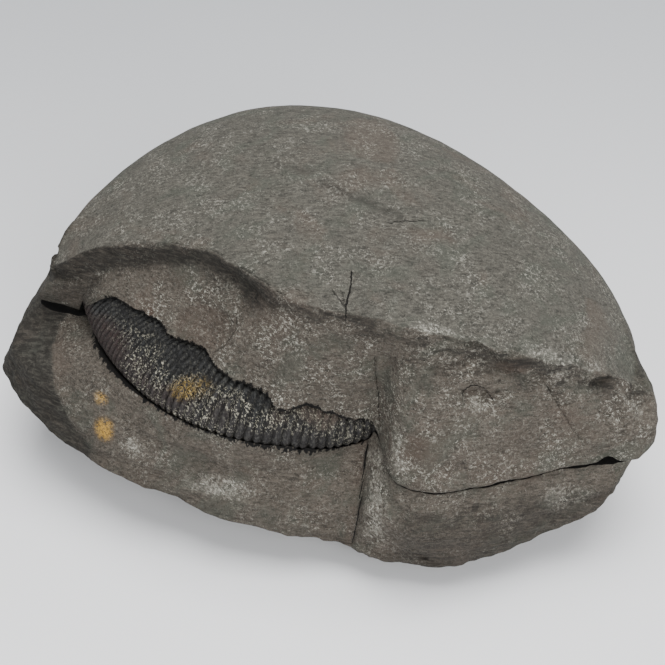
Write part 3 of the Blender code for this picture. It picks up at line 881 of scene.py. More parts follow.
@dataclass(frozen=True)
class StoneFinish:
    """Dull siltstone: a greener weathered skin and a warmer broken face, with flecks and fine streaks."""

    name: str
    flecks: float = 1.0
    skin: Point = (98, 95, 87)
    skin_shade: Point = (50, 49, 45)
    broken: Point = (102, 95, 86)
    broken_shade: Point = (48, 44, 39)
    green: Point = (70, 74, 66)
    warm: Point = (88, 75, 66)
    stain: Point = (72, 58, 50)
    ochre: Point = (196, 152, 60)
    pale: Point = (198, 195, 182)
    # dark: the dark mark, partly painted shade, the ticks and painted shade in tiny hollows; black: the
    # cracks and the painted shadow along the shell.
    dark: Point = (36, 34, 31)
    black: Point = (9, 8, 8)

    def build(self) -> bpy.types.Material:
        """Make the material.

        Base colour: skin and broken colours mixed by the mark "broken", each between a shade and a
        light along a fine flowing grain, with green and warm clouds. Over it lie the stain and ochre
        marks, the dark mark (real dark streaks and spots, and painted shade where the stone turns away
        from the light), worm-like light strokes and points in patches, a few dark ticks, dark specks
        painted as shade in tiny hollows, and the cracks. Last comes a black painted shadow along the
        shell, where the rock stands off it and in the split and slot between the halves: ragged where
        the mark "fringe" rises, whole where the mark "deep" is. Height: slow lumps, gritty grain,
        flecks standing slightly proud.

        Returns:
            The material.
        """
        graph = Graph(bpy.data.materials.new(self.name))
        place = graph.place()
        mottle = graph.noise(place, 0.35, 4.0, 0.6, 0.3)
        grain = graph.noise(place, 1.5, 4.0, 0.7)
        fine = graph.noise(place, 3.6, 2.0, 0.6)
        flow = graph.noise(graph.grained((0, 0, 12), (0.4, 1.3, 1.7)), 1.5, 4.0, 0.7, 0.5)
        tone = (mottle * 0.25 + flow * 0.5 + fine * 0.25).step(0.35, 0.65)
        skin = graph.blend(tone, linear(*self.skin_shade), linear(*self.skin))
        face = graph.blend(tone, linear(*self.broken_shade), linear(*self.broken))
        broken = graph.mark("broken").step(0.15, 0.85)
        colour = graph.blend(broken, skin, face)
        cool = graph.noise(graph.grained((0, 0, 40), (1.0, 1.6, 1.3)), 0.085, 4.0, 0.6, 0.6)
        colour = graph.blend(cool.step(0.48, 0.64) * 0.45, colour, linear(*self.green))
        cloud = graph.noise(place, 0.07, 4.0, 0.6, 0.5)
        colour = graph.blend(cloud.step(0.5, 0.68) * 0.35, colour, linear(*self.warm))
        stain = graph.mark("stain") * (mottle * 0.8 + 0.6)
        colour = graph.blend(stain.cap(0.85), colour, linear(*self.stain))
        pale = graph.mark("pale")
        bloom = pale * (grain * 0.5 + mottle * 0.5).step(0.4, 0.6) * 0.35
        colour = graph.blend(bloom, colour, linear(*self.pale))
        dark = graph.mark("dark")
        # The mark "dark": real dark streaks and spots, and painted shade under the crown's edge, on the lower
        # half's left flank, low on the scar and in the pit.
        streaks = graph.noise(graph.grained((0, 0, 8), (0.25, 1.0, 2.4)), 1.0, 4.0, 0.65).step(0.34, 0.66)
        colour = graph.blend((dark * (streaks * 0.6 + 0.5)).cap(0.92), colour, linear(*self.dark))
        patch = graph.noise(place, 0.15, 3.0, 0.6).step(0.42, 0.68) * 0.75 + 0.15
        patch = patch * (broken * 0.45 + 0.55) * self.flecks + pale * 0.95
        across = graph.worms(graph.grained((10, 0, 30), (0.7, 1.4, 1.3)), 1.3, 0.06, 0.7)
        along = graph.worms(graph.grained((0, 14, -50), (0.7, 1.4, 1.3)), 1.2, 0.055, 0.7)
        sparks = graph.noise(place, 4.4, 1.0).step(0.7, 0.76)
        strokes = across.math("MAXIMUM", along)
        ochre = graph.mark("ochre") * (strokes * 0.5 + grain.step(0.42, 0.52) * 0.75)
        colour = graph.blend(ochre.cap(0.9), colour, linear(*self.ochre))
        light = strokes * grain.step(0.46, 0.6) * patch + sparks * (patch * 0.6 + 0.2)
        light = light.cap(0.8) * (1.0 - dark * 0.85).math("MAXIMUM", 0.0)
        colour = graph.blend(light, colour, linear(*self.pale))
        ticks = graph.worms(graph.grained((0, 0, -20), (0.6, 1.3, 1.5)), 1.0, 0.05, 0.9)
        ticks = ticks * mottle.step(0.5, 0.62)
        # Dark specks where the fine grain is low: painted shade in tiny hollows.
        pit_shade = 1.0 - fine.step(0.28, 0.38)
        colour = graph.blend((ticks * 0.5 + pit_shade * 0.35).cap(0.7), colour, linear(*self.dark))
        wobble = (graph.noise(place, 1.4, 2.0, 0.6) - 0.5) * 0.5
        crack = (1.0 - (graph.mark("crack") + wobble).size().step(0.05, 0.24)) * graph.mark("crack_on")
        colour = graph.blend(crack.cap(0.95), colour, linear(*self.black))
        # Painted shadow: black along the shell where the rock stands off it, ragged by the mark "fringe" and
        # whole by the mark "deep".
        bite = graph.noise(graph.grained((0, 0, -20), (1.0, 0.35, 0.35)), 1.6, 2.0, 0.6)
        shadow_line = (graph.mark("shadow_fringe") + (bite - 0.5) * 1.3).step(0.86, 0.95).math("MAXIMUM", graph.mark("deep"))
        colour = graph.blend(shadow_line * 0.96, colour, linear(*self.black))
        height = mottle * 0.5 + flow * 0.3 + grain * 0.2 + fine * 0.18
        height = height + light * 0.1 - ticks * 0.14 - crack * 0.4
        graph.finish(colour, 0.92 - light * 0.2, height, 0.0009, 0.25)
        return graph.material


@dataclass(frozen=True)
class ShellFinish:
    """Near-black mineralised shell with a faint sheen, rusty low down, with light flecks between ribs."""

    name: str = "shell_black"
    body: Point = (50, 51, 50)
    # Near-black of the grooves between the ribs: painted shade.
    groove: Point = (5, 5, 5)
    rust: Point = (48, 28, 23)
    chip: Point = (214, 209, 188)
    yellow: Point = (186, 154, 74)
    crust: Point = (84, 73, 64)

    def build(self) -> bpy.types.Material:
        """Make the material.

        Base colour: rib crests lighter than their grooves, the near-black in the grooves painted shade,
        broken by grit and fine dark lines, then rust, crust, worm-like light chips and yellow flecks by
        their marks. Height: grain, chips standing proud and lines cut in.

        Returns:
            The material.
        """
        graph = Graph(bpy.data.materials.new(self.name))
        place = graph.place()
        mottle = graph.noise(place, 0.5, 4.0, 0.6, 0.3)
        grain = graph.noise(place, 2.0, 4.0, 0.65)
        crest = graph.mark("crest")
        lines = graph.worms(graph.grained((0, 0, 20), (1.0, 0.3, 0.4)), 1.5, 0.06, 0.6)
        grit = (grain - 0.5) * 1.6
        # Crests toward the body colour, grooves near-black: painted shade between the ribs.
        tone = (crest * 0.85 + mottle * 0.5 + grit - lines * 0.55 - 0.33).step(0.05, 0.9)
        colour = graph.blend(tone, linear(*self.groove), linear(*self.body))
        rust = graph.mark("rust") * (0.2 + mottle * 0.9) * (0.35 + crest * 0.65)
        colour = graph.blend(rust.cap(0.8), colour, linear(*self.rust))
        crust = graph.mark("crust") * (0.6 + grain * 0.6) * (crest * 0.5 + 0.5) * (1.0 - lines * 0.6)
        colour = graph.blend(crust.cap(0.92), colour, linear(*self.crust))
        worm = graph.worms(graph.grained((0, 0, 20), (1.0, 0.4, 0.45)), 1.9, 0.07, 1.0)
        chips = (worm * grain.step(0.46, 0.56) + grain.step(0.66, 0.72) * 0.6) * graph.mark("chips")
        colour = graph.blend((chips * 1.2).cap(0.9), colour, linear(*self.chip))
        yellow = graph.mark("yellow") * (worm * 0.8 + grain.step(0.5, 0.6) * 0.3)
        colour = graph.blend(yellow.cap(0.75), colour, linear(*self.yellow))
        height = mottle * 0.3 + grain * 0.6 + chips * 0.25 - lines * 0.2
        graph.finish(colour, (0.46 + mottle * 0.25 + crust * 0.25).cap(0.95), height, 0.001, 0.45)
        return graph.material


@dataclass(frozen=True)
class FloorFinish:
    """Plain pale studio floor, painted brighter towards the front and darker towards the back for the light's
    falloff.
    """

    name: str = "floor_pale"
    front: Point = (254, 254, 255)
    back: Point = (172, 174, 177)

    def build(self) -> bpy.types.Material:
        """Make the material: an even fade from back to front, painted falloff of the light, with a barely
        visible soft mottle.

        Returns:
            The material.
        """
        graph = Graph(bpy.data.materials.new(self.name))
        place = graph.node("ShaderNodeTexCoord").outputs["Object"]
        cloud = graph.noise(place, 9.0, 2.0, 0.5)
        depth = Signal(graph, graph.node("ShaderNodeSeparateXYZ", None, {0: place}).outputs[1])
        share = depth.step(-0.16, 0.2) + (cloud - 0.5) * 0.06
        colour = graph.blend(share, linear(*self.front), linear(*self.back))
        graph.finish(colour, cloud * 0.05 + 0.85, cloud, 0.0001, 0.2)
        return graph.material


# Pieces

def bearings() -> Array:
    """Column bearings, close together over the broken front and wider round the back.

    Returns:
        Degrees from 0 up to 360, counted from the back round by the left.
    """
    spans = ((0.0, 84.0, 42), (84.0, 105.0, 30), (105.0, 126.0, 78), (126.0, 172.0, 124), (172.0, 188.0, 64),
             (188.0, 240.0, 140), (240.0, 258.0, 20), (258.0, 360.0, 51))
    return np.concatenate([np.linspace(low, high, count, endpoint=False) for low, high, count in spans])


@dataclass
class HalfStone:
    """One half of the nodule, from its outside surface round to its split face."""

    name: str
    node: str
    slot: str
    side: Side
    limits: tuple[float, float, float, float]
    finish: StoneFinish
    cracks: tuple[Crack, ...]
    samples: int = 520
    far_rows: int = 46
    near_rows: int = 100
    split_rows: int = 24

    def broken_share(self, bearing: Array) -> Array:
        """1 where the stone is broken away, 0 where its rounded body is whole."""
        low = ease(self.limits[0], self.limits[1], bearing)
        return low * (1.0 - ease(self.limits[2], self.limits[3], bearing))

    def path(self, bearing: Array) -> tuple[Array, Array, Array, Array, float]:
        """Radius, height, brokenness and share of the face along each column, and the row they part at."""
        raise NotImplementedError

    def relief(self, points: Array, broken: Array, along: Array) -> Array:
        """Displacement along the normal in millimetres; see the two halves."""
        raise NotImplementedError

    def marks(self, points: Array, broken: Array, along: Array) -> dict[str, Array]:
        """Strengths of the stone's marks; see the two halves."""
        raise NotImplementedError

    def grid(self) -> tuple[Array, Array, Array]:
        """Columns by rows of positions, brokenness and face share, from one end of the axis to the other.

        The column's path is displaced by the relief and cut where it meets the split face. The
        smooth part and the broken part are each spread evenly by length, and the column is carried
        on inwards along the split face.

        Returns:
            Positions, brokenness and share along the face.
        """
        bearing = bearings()
        dx, dy = heading(bearing)
        radius, level, broken, along, parting = self.path(bearing)
        grid = np.stack([AXIS[0] + dx[:, None] * radius, AXIS[1] + dy[:, None] * radius, level], axis=-1)
        normal = normals_of(grid)
        normal = normal * np.sign((normal[:, 40:60, 2] * self.side.value).mean())
        push = self.relief(grid, broken, along)
        grid = grid + normal * (push * ease(0.0, 6.0, radius))[..., None]
        clear = (grid[..., 2] - SPLIT.face(grid[..., 0], grid[..., 1], self.side.value)) * self.side.value
        packed = np.concatenate([grid, broken[..., None], along[..., None]], axis=-1)
        start, middle = np.zeros(len(bearing)), np.full(len(bearing), parting)
        far = resample(packed, start, middle, np.linspace(0.0, 1.0, self.far_rows) ** 0.9)
        near = resample(packed, middle, first_below(clear), np.linspace(0.0, 1.0, self.near_rows)[1:])
        whole = np.concatenate([far, near, self.split_part(near[:, -1])], axis=1)
        whole[:, 0] = whole[:, 0].mean(axis=0)
        whole[:, -1] = whole[:, -1].mean(axis=0)
        return whole[..., :3], whole[..., 3], whole[..., 4]

    def split_part(self, rim: Array) -> Array:
        """Rows from the rim in to the axis along the split face, close together near the rim.

        Args:
            rim: the last row outside, one line of position and marks per column.

        Returns:
            Columns by rows by position, brokenness and a face share that counts on from 1 to 2.
        """
        dx, dy = rim[:, 0] - AXIS[0], rim[:, 1] - AXIS[1]
        share = 1.0 - np.linspace(0.0, 1.0, self.split_rows + 1)[1:] ** 2.2
        inward = np.broadcast_to(2.0 - share, (len(rim), self.split_rows))
        x, y = AXIS[0] + dx[:, None] * share, AXIS[1] + dy[:, None] * share
        level = SPLIT.face(x, y, self.side.value) + self.side.value * 0.1
        return np.stack([x, y, level, np.ones_like(x), inward], axis=-1)

    def build(self) -> bpy.types.Object:
        """Make the mesh, its marks and its material, hang it under the root body and hide the part it
        replaces.

        Returns:
            The half's object.
        """
        grid, broken, along = self.grid()
        marks = {"broken": broken, **self.marks(grid, broken, along), **crack_marks(grid, self.cracks)}
        obj = mesh_of_grid(self.name, self.settle(grid), marks)
        obj.data.materials.append(self.finish.build())
        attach(obj, "root")
        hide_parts(self.node)
        return obj

    def settle(self, grid: Array) -> Array:
        """The grid as it rests; only the lower half is worn flat."""
        return grid


@dataclass
class CrownHalf(HalfStone):
    """Upper half: the smooth crown, the steep band below its edge and the broken front face."""

    rim_over_split: float = 1.2
    rim_over_shell: float = 0.95
    crown_share: float = 0.86
    rim_inset: float = 1.2
    rim_share: float = 0.8
    past_rim: float = 0.2
    rim_tuck: float = 5.0

    def path(self, bearing: Array) -> tuple[Array, Array, Array, Array, float]:
        """Over the crown to its edge, down the band and the face, past the rim.

        The broken columns run straight between edge, foot, middle, rim and a point inside below the
        rim; the whole ones follow the rounded body by the sine of an even turn. The two are mixed by
        the broken share.

        Args:
            bearing: column bearings.

        Returns:
            Radius, height, brokenness, share along the face, and the row of the crown's edge.
        """
        dx, dy = heading(bearing)
        share = self.broken_share(bearing)
        whole = BODY.reach(bearing)
        edge = np.minimum(CROWN_EDGE.read(bearing)[0], whole - 0.5)
        ragged = np.stack([AXIS[0] + dx * edge, AXIS[1] + dy * edge, np.full_like(edge, 9.0)], axis=-1)
        rough = 0.35 + 0.5 * ease(176.0, 196.0, bearing)
        edge = edge + share * rough * layers(ragged, 5.0, 11, 4, 0.6)
        crown = share * edge + (1.0 - share) * whole * self.crown_share
        foot, foot_level = BAND_FOOT.read(bearing)
        rim = UPPER_RIM.read(bearing)[0]
        teeth = 0.3 * layers(ragged, 2.2, 17, 2, 0.7) * ease(112.0, 118.0, bearing)
        rim = rim + teeth * (1.0 - 0.6 * ease(176.0, 180.0, bearing))
        rim_level = np.maximum(self.rim_over_split,
                               COIL.flank(AXIS[0] + dx * rim, AXIS[1] + dy * rim, 1.0) + self.rim_over_shell)
        swell = np.interp(bearing, *zip(*FACE_SWELL))
        far = self.samples // 2
        top = np.linspace(0.0, 1.0, far)[None] * crown[:, None]
        top_level = BODY.height(AXIS[0] + dx[:, None] * top, AXIS[1] + dy[:, None] * top, BODY.crown)
        knots = np.array([0.0, 0.2, 0.5, self.rim_share, 1.0])
        along = np.linspace(0.0, 1.0, self.samples - far)
        radii = np.stack([edge, foot, foot + (rim - foot) * 0.5 + swell, rim, rim - self.rim_inset], axis=1)
        levels = np.stack([top_level[:, -1], foot_level, (foot_level + rim_level) * 0.5, rim_level,
                           np.full_like(rim, -self.rim_tuck)], axis=1)
        face = np.stack([np.interp(along, knots, row) for row in radii])
        face_level = np.stack([np.interp(along, knots, row) for row in levels])
        reach = np.sin(np.pi / 2.0 * np.clip(along / self.rim_share, 0.0, 1.0))
        round_radius = crown[:, None] + (whole - crown)[:, None] * reach
        x, y = AXIS[0] + dx[:, None] * round_radius, AXIS[1] + dy[:, None] * round_radius
        tuck = self.rim_tuck * np.clip((along - self.rim_share) / self.past_rim, 0.0, 1.0)
        round_level = BODY.height(x, y, BODY.crown) - tuck
        mix = share[:, None]
        radius = np.concatenate([top, mix * face + (1.0 - mix) * round_radius], axis=1)
        level = np.concatenate([top_level, mix * face_level + (1.0 - mix) * round_level], axis=1)
        run = np.concatenate([np.zeros(far), along])
        near_edge = np.exp(-((np.arange(self.samples) - far) / 22.0) ** 2)
        soft = near_edge[None] * (0.25 + 0.7 * ease(168.0, 192.0, bearing))[:, None]
        soft = soft + 0.5 * (run > 0.12)[None] * (run < 0.72)[None]
        radius, level = blurred(radius, soft, 60), blurred(level, soft, 60)
        cover = COIL.flank(AXIS[0] + dx[:, None] * radius, AXIS[1] + dy[:, None] * radius, 1.0)
        cover = cover + self.rim_over_shell + 0.9 * ease(-44.0, -47.0, AXIS[0] + dx[:, None] * radius)
        level = np.where(run[None] < self.rim_share, np.maximum(level, cover), level)
        broken = ease(0.0, 0.05, run)[None] * mix
        return radius, level, broken, np.broadcast_to(run, radius.shape), float(far - 1)

    def relief(self, points: Array, broken: Array, along: Array) -> Array:
        """Slow undulation everywhere; hackly steps, scales, a scoop and a dent on the broken face.

        Args:
            points: positions in the stone's frame.
            broken: 0 on the rounded skin, 1 on the broken face.
            along: share along the face, 0 at the crown's edge.

        Returns:
            Displacement along the normal in millimetres.
        """
        x = points[..., 0]
        skin = 0.34 * layers(points, 19.0, 3, 3, 0.45) + 0.05 * layers(points, 2.4, 7, 2, 0.6) - 0.56
        hackle = 0.34 * layers(points, (9.0, 7.0, 5.0), 23, 4, 0.55) + 0.10 * layers(points, 1.6, 29, 2, 0.6)
        steps = layers(points + 40.0, (13.0, 9.0, 3.4), 31, 3, 0.6)
        scaly = ease(6.0, 20.0, x) * (1.0 - ease(0.3, 0.5, along)) + 0.8 * ease(-50.0, -54.0, x)
        scaly = scaly + 0.6 * (1.0 - ease(0.14, 0.3, along)) * ease(6.0, 20.0, -x)
        hackle = hackle - 0.55 * scaly * (ease(0.0, 0.2, steps) + ease(0.45, 0.6, steps) - 0.5)
        hackle = hackle - 0.55 * spot(points, (-25.5, 0.6, 12.4), (7.0, 6.0, 5.4), 0.75)
        hackle = hackle - 1.1 * spot(points, (27.2, -9.6, 15.9), (2.9, 2.6, 2.4), 0.6)
        settled = 1.0 - 0.75 * ease(0.62, 0.78, along)
        push = skin * (1.0 - 0.6 * broken) + hackle * broken * settled
        cuts = sum(crack.cut(points) for crack in self.cracks)
        chips = 0.3 * np.maximum(0.0, layers(points, 3.0, 53, 2))
        chips = chips * (1.0 - ease(0.0, 0.06, along)) * (along > 0.0)
        return push - cuts - chips

    def marks(self, points: Array, broken: Array, along: Array) -> dict[str, Array]:
        """Where the crown and the face are stained, dark or pale, with painted shade under the crown's edge
        and a painted black shadow along the shell.

        Args:
            points: positions in the stone's frame.
            broken: 0 on the rounded skin, 1 on the broken face.
            along: share along the face, 0 at the crown's edge.

        Returns:
            The marks by name.
        """
        x = points[..., 0]
        wander = 0.06 * layers(points, 6.0, 47, 3)
        left = ease(-2.0, -16.0, x)
        # Painted shade, over a dark patina: the steep band under the crown's edge on the left, and the left
        # end of the broken face.
        band = broken * (1.0 - ease(0.19, 0.35, along + wander)) * left
        wall = broken * ease(-45.5, -50.0, x) * 0.62
        streak = broken * (1.0 - ease(0.12, 0.38, along + 1.5 * wander)) * ease(-12.0, -2.0, x)
        streak = streak * (0.35 + 0.65 * ease(-0.3, 0.3, layers(points, (5.0, 3.4, 1.6), 59, 4, 0.6)))
        dome = track(points, ((-17.9, 34.2, 24.0), (-9.6, 32.0, 25.4)), 1.8) * 0.5
        dome = dome + track(points, ((-7.5, 29.3, 25.8), (9.0, 23.2, 26.0)), 2.0) * 0.6
        ridge = spot(points, (45.0, -0.6, 18.4), (7.0, 3.0, 3.0)) * 0.4
        # Painted shadow: a ragged black line where the rock's edge stands off the shell.
        shadow_fringe = broken * np.clip((along - 0.735) / 0.06, 0.0, 1.0)
        shadow_fringe = shadow_fringe * ease(9.8, 9.0, x) * ease(-47.6, -46.4, x)
        # Painted shade: black under the rim and into the split.
        deep = ease(0.835, 0.86, along) * (1.0 - ease(1.03, 1.1, along)) * broken
        return {"dark": np.clip(band + wall + 0.95 * streak + dome + ridge, 0.0, 1.0),
                "stain": summed(CROWN_STAINS, points), "ochre": np.zeros_like(x),
                "pale": np.clip(summed(CROWN_PALE, points), 0.0, 1.0), "deep": deep, "shadow_fringe": shadow_fringe}


@dataclass
class BaseHalf(HalfStone):
    """Lower half: the broken scar below the shell, the step beside it, and the worn underside."""

    flank_line: tuple[tuple[float, float], ...] = (
        (-14.9, -46.2), (-10.9, -50.3), (-7.3, -53.7), (-3.1, -55.9), (2.1, -57.3), (7.2, -56.8),
        (12.0, -53.0))
    lip_inset: float = 1.2
    lip_share: float = 0.92
    past_lip: float = 0.08
    lip_tuck: float = 9.0

    def path(self, bearing: Array) -> tuple[Array, Array, Array, Array, float]:
        """From the axis under the stone, up its face and past the lip.

        The broken columns run straight between the underside's rings, the belly, the face and the
        lip; the whole ones follow the rounded body by the sine of an even turn. The two are mixed by
        the broken share.

        Args:
            bearing: column bearings.

        Returns:
            Radius, height, brokenness, share along the path, and the row just under the belly.
        """
        dx, dy = heading(bearing)
        share = self.broken_share(bearing)
        whole = BODY.reach(bearing)
        lip, lip_level = LOWER_LIP.read(bearing)
        face, face_level = LOWER_FACE.read(bearing)
        belly, belly_level = LOWER_BELLY.read(bearing)
        ragged = np.stack([AXIS[0] + dx * lip, AXIS[1] + dy * lip, np.full_like(lip, 3.0)], axis=-1)
        lip = lip + 0.22 * layers(ragged, 2.2, 19, 2, 0.7)
        belly = belly + 0.5 * layers(ragged, 7.0, 21, 3, 0.6)
        inner = belly * 0.45
        depth = BODY.keel_depth(AXIS[0] + dx * inner, AXIS[1] + dy * inner)
        knots = np.array([0.0, 0.18, 0.34, 0.44, 0.50, 0.68, self.lip_share, 1.0])
        along = np.linspace(0.0, 1.0, self.samples)
        radii = np.stack([lip * 0.0, inner, belly * 0.74, belly - 4.0, belly, face, lip,
                          lip - self.lip_inset], axis=1)
        levels = np.stack([np.full_like(lip, -BODY.keel_depth(*AXIS)), -0.975 * depth,
                           0.15 * belly_level - 23.8, belly_level - 4.2, belly_level, face_level, lip_level,
                           lip_level + self.lip_tuck], axis=1)
        cut = np.stack([np.interp(along, knots, row) for row in radii])
        cut_level = np.stack([np.interp(along, knots, row) for row in levels])
        soft = np.broadcast_to(0.6 * ease(0.0, 0.1, along) * (1.0 - ease(0.84, 0.9, along)), cut.shape)
        cut, cut_level = blurred(cut, soft, 50), blurred(cut_level, soft, 50)
        reach = np.sin(np.pi / 2.0 * np.clip(along / self.lip_share, 0.0, 1.0))
        round_radius = whole[:, None] * reach
        x, y = AXIS[0] + dx[:, None] * round_radius, AXIS[1] + dy[:, None] * round_radius
        tuck = self.lip_tuck * np.clip((along - self.lip_share) / self.past_lip, 0.0, 1.0)
        round_level = tuck - BODY.height(x, y, BODY.keel_depth(x, y))
        mix = share[:, None]
        radius = mix * cut + (1.0 - mix) * round_radius
        level = mix * cut_level + (1.0 - mix) * round_level
        front = ease(96.0, 112.0, bearing) * (1.0 - ease(226.0, 240.0, bearing))
        broken = front[:, None] * ease(0.42, 0.50, along)[None]
        return radius, level, broken, np.broadcast_to(along, radius.shape), float(round(0.4 * self.samples))

    def relief(self, points: Array, broken: Array, along: Array) -> Array:
        """Slow undulation on the skin, shallow shell-like waves and small ledges on the scar.

        Args:
            points: positions in the stone's frame.
            broken: 0 on the rounded skin, 1 on the scar.
            along: share along the column, 0 under the stone.

        Returns:
            Displacement along the normal in millimetres.
        """
        skin = 0.4 * layers(points, 15.0, 5, 4, 0.5) + 0.05 * layers(points, 2.0, 9, 2, 0.6) - 0.68
        scar = 0.32 * layers(points, (10.0, 8.0, 6.0), 27, 4, 0.5) + 0.08 * layers(points, 1.5, 37, 2, 0.6)
        steps = layers(points + 25.0, (16.0, 12.0, 3.6), 35, 3, 0.6)
        scar = scar - 0.25 * (ease(0.0, 0.2, steps) + ease(0.45, 0.6, steps) - 0.5)
        settled = 1.0 - 0.7 * ease(0.84, 0.92, along)
        push = skin * (1.0 - 0.6 * broken) + scar * broken * settled
        hole = 1.1 * spot(points, PIT, (1.1, 1.4, 0.7))
        return push - hole - sum(crack.cut(points) for crack in self.cracks)

    def marks(self, points: Array, broken: Array, along: Array) -> dict[str, Array]:
        """Where the scar is stained, ochre or pale, with painted shade on the flank, low on the scar, on the
        right below the split, in the pit and along the crease, and a painted black shadow along the shell.

        Args:
            points: positions in the stone's frame.
            broken: 0 on the rounded skin, 1 on the scar.
            along: share along the column, 0 under the stone.

        Returns:
            The marks by name.
        """
        x, y, z = points[..., 0], points[..., 1], points[..., 2]
        wander = 0.5 * layers(points, 5.0, 83, 3)
        # Painted shade: the left flank turns under away from the light, so it is darkened and loses its
        # broken colour.
        flank = ease(0.4, -0.7, x - np.interp(y, *zip(*self.flank_line)) + wander) * ease(20.0, 12.0, y)
        # Painted shadow: ragged black teeth along the shell's lower edge.
        shadow_fringe = broken * np.clip((along - 0.85) / 0.07, 0.0, 1.0)
        shadow_fringe = shadow_fringe * ease(9.6, 8.8, x) * ease(-51.0, -48.5, x)
        # Painted shade in the pit; the dark dot after it is a real spot.
        hole = spot(points, PIT, (1.3, 1.6, 0.9))
        dot = spot(points, (31.1, -21.8, -3.4), (1.0, 1.2, 1.3), 0.6) * 0.6
        # Painted shade along the concave crease beside the step, given as stain.
        crease = track(points, self.cracks[0].line, 3.2) * ease(9.6, 8.6, x - 0.02 * y)
        # Painted shade: the scar darker low down and at its left end, and the right part below the split
        # darker.
        under = ease(-12.0, -17.0, z) * broken * 0.2 + 0.55 * ease(14.0, 20.0, x) * ease(-2.0, -5.0, z)
        under = under + 0.2 * ease(-40.0, -48.0, x) * broken
        # Painted shade: black in the split past the lip, all round, and into the slot.
        deep = ease(0.925, 0.945, along) * (1.0 - ease(1.03, 1.1, along))
        # Painted shade: a black line in the concave crease beside the step.
        deep = np.maximum(deep, 0.9 * track(points, self.cracks[0].line, 0.55))
        dark = np.clip(0.75 * flank + hole + dot + under, 0.0, 1.0)
        return {"dark": dark, "stain": 0.4 * crease + 0.1 * (1.0 - broken),
                "ochre": np.clip(summed(BASE_OCHRE, points), 0.0, 1.0),
                "pale": np.clip(summed(BASE_PALE, points), 0.0, 1.0),
                "broken": broken * (1.0 - flank), "deep": deep, "shadow_fringe": shadow_fringe}

    def settle(self, grid: Array) -> Array:
        """Flatten what would reach below the floor, which gives the flat the stone rests on.

        Args:
            grid: columns by rows of positions in the stone's frame.

        Returns:
            The same, with nothing below the floor.
        """
        matrix = np.array(lean_matrix())
        floor = to_floor(grid)
        floor[..., 2] = np.maximum(floor[..., 2], 0.0)
        back = np.linalg.inv(matrix)
        return floor @ back[:3, :3].T + back[:3, 3]


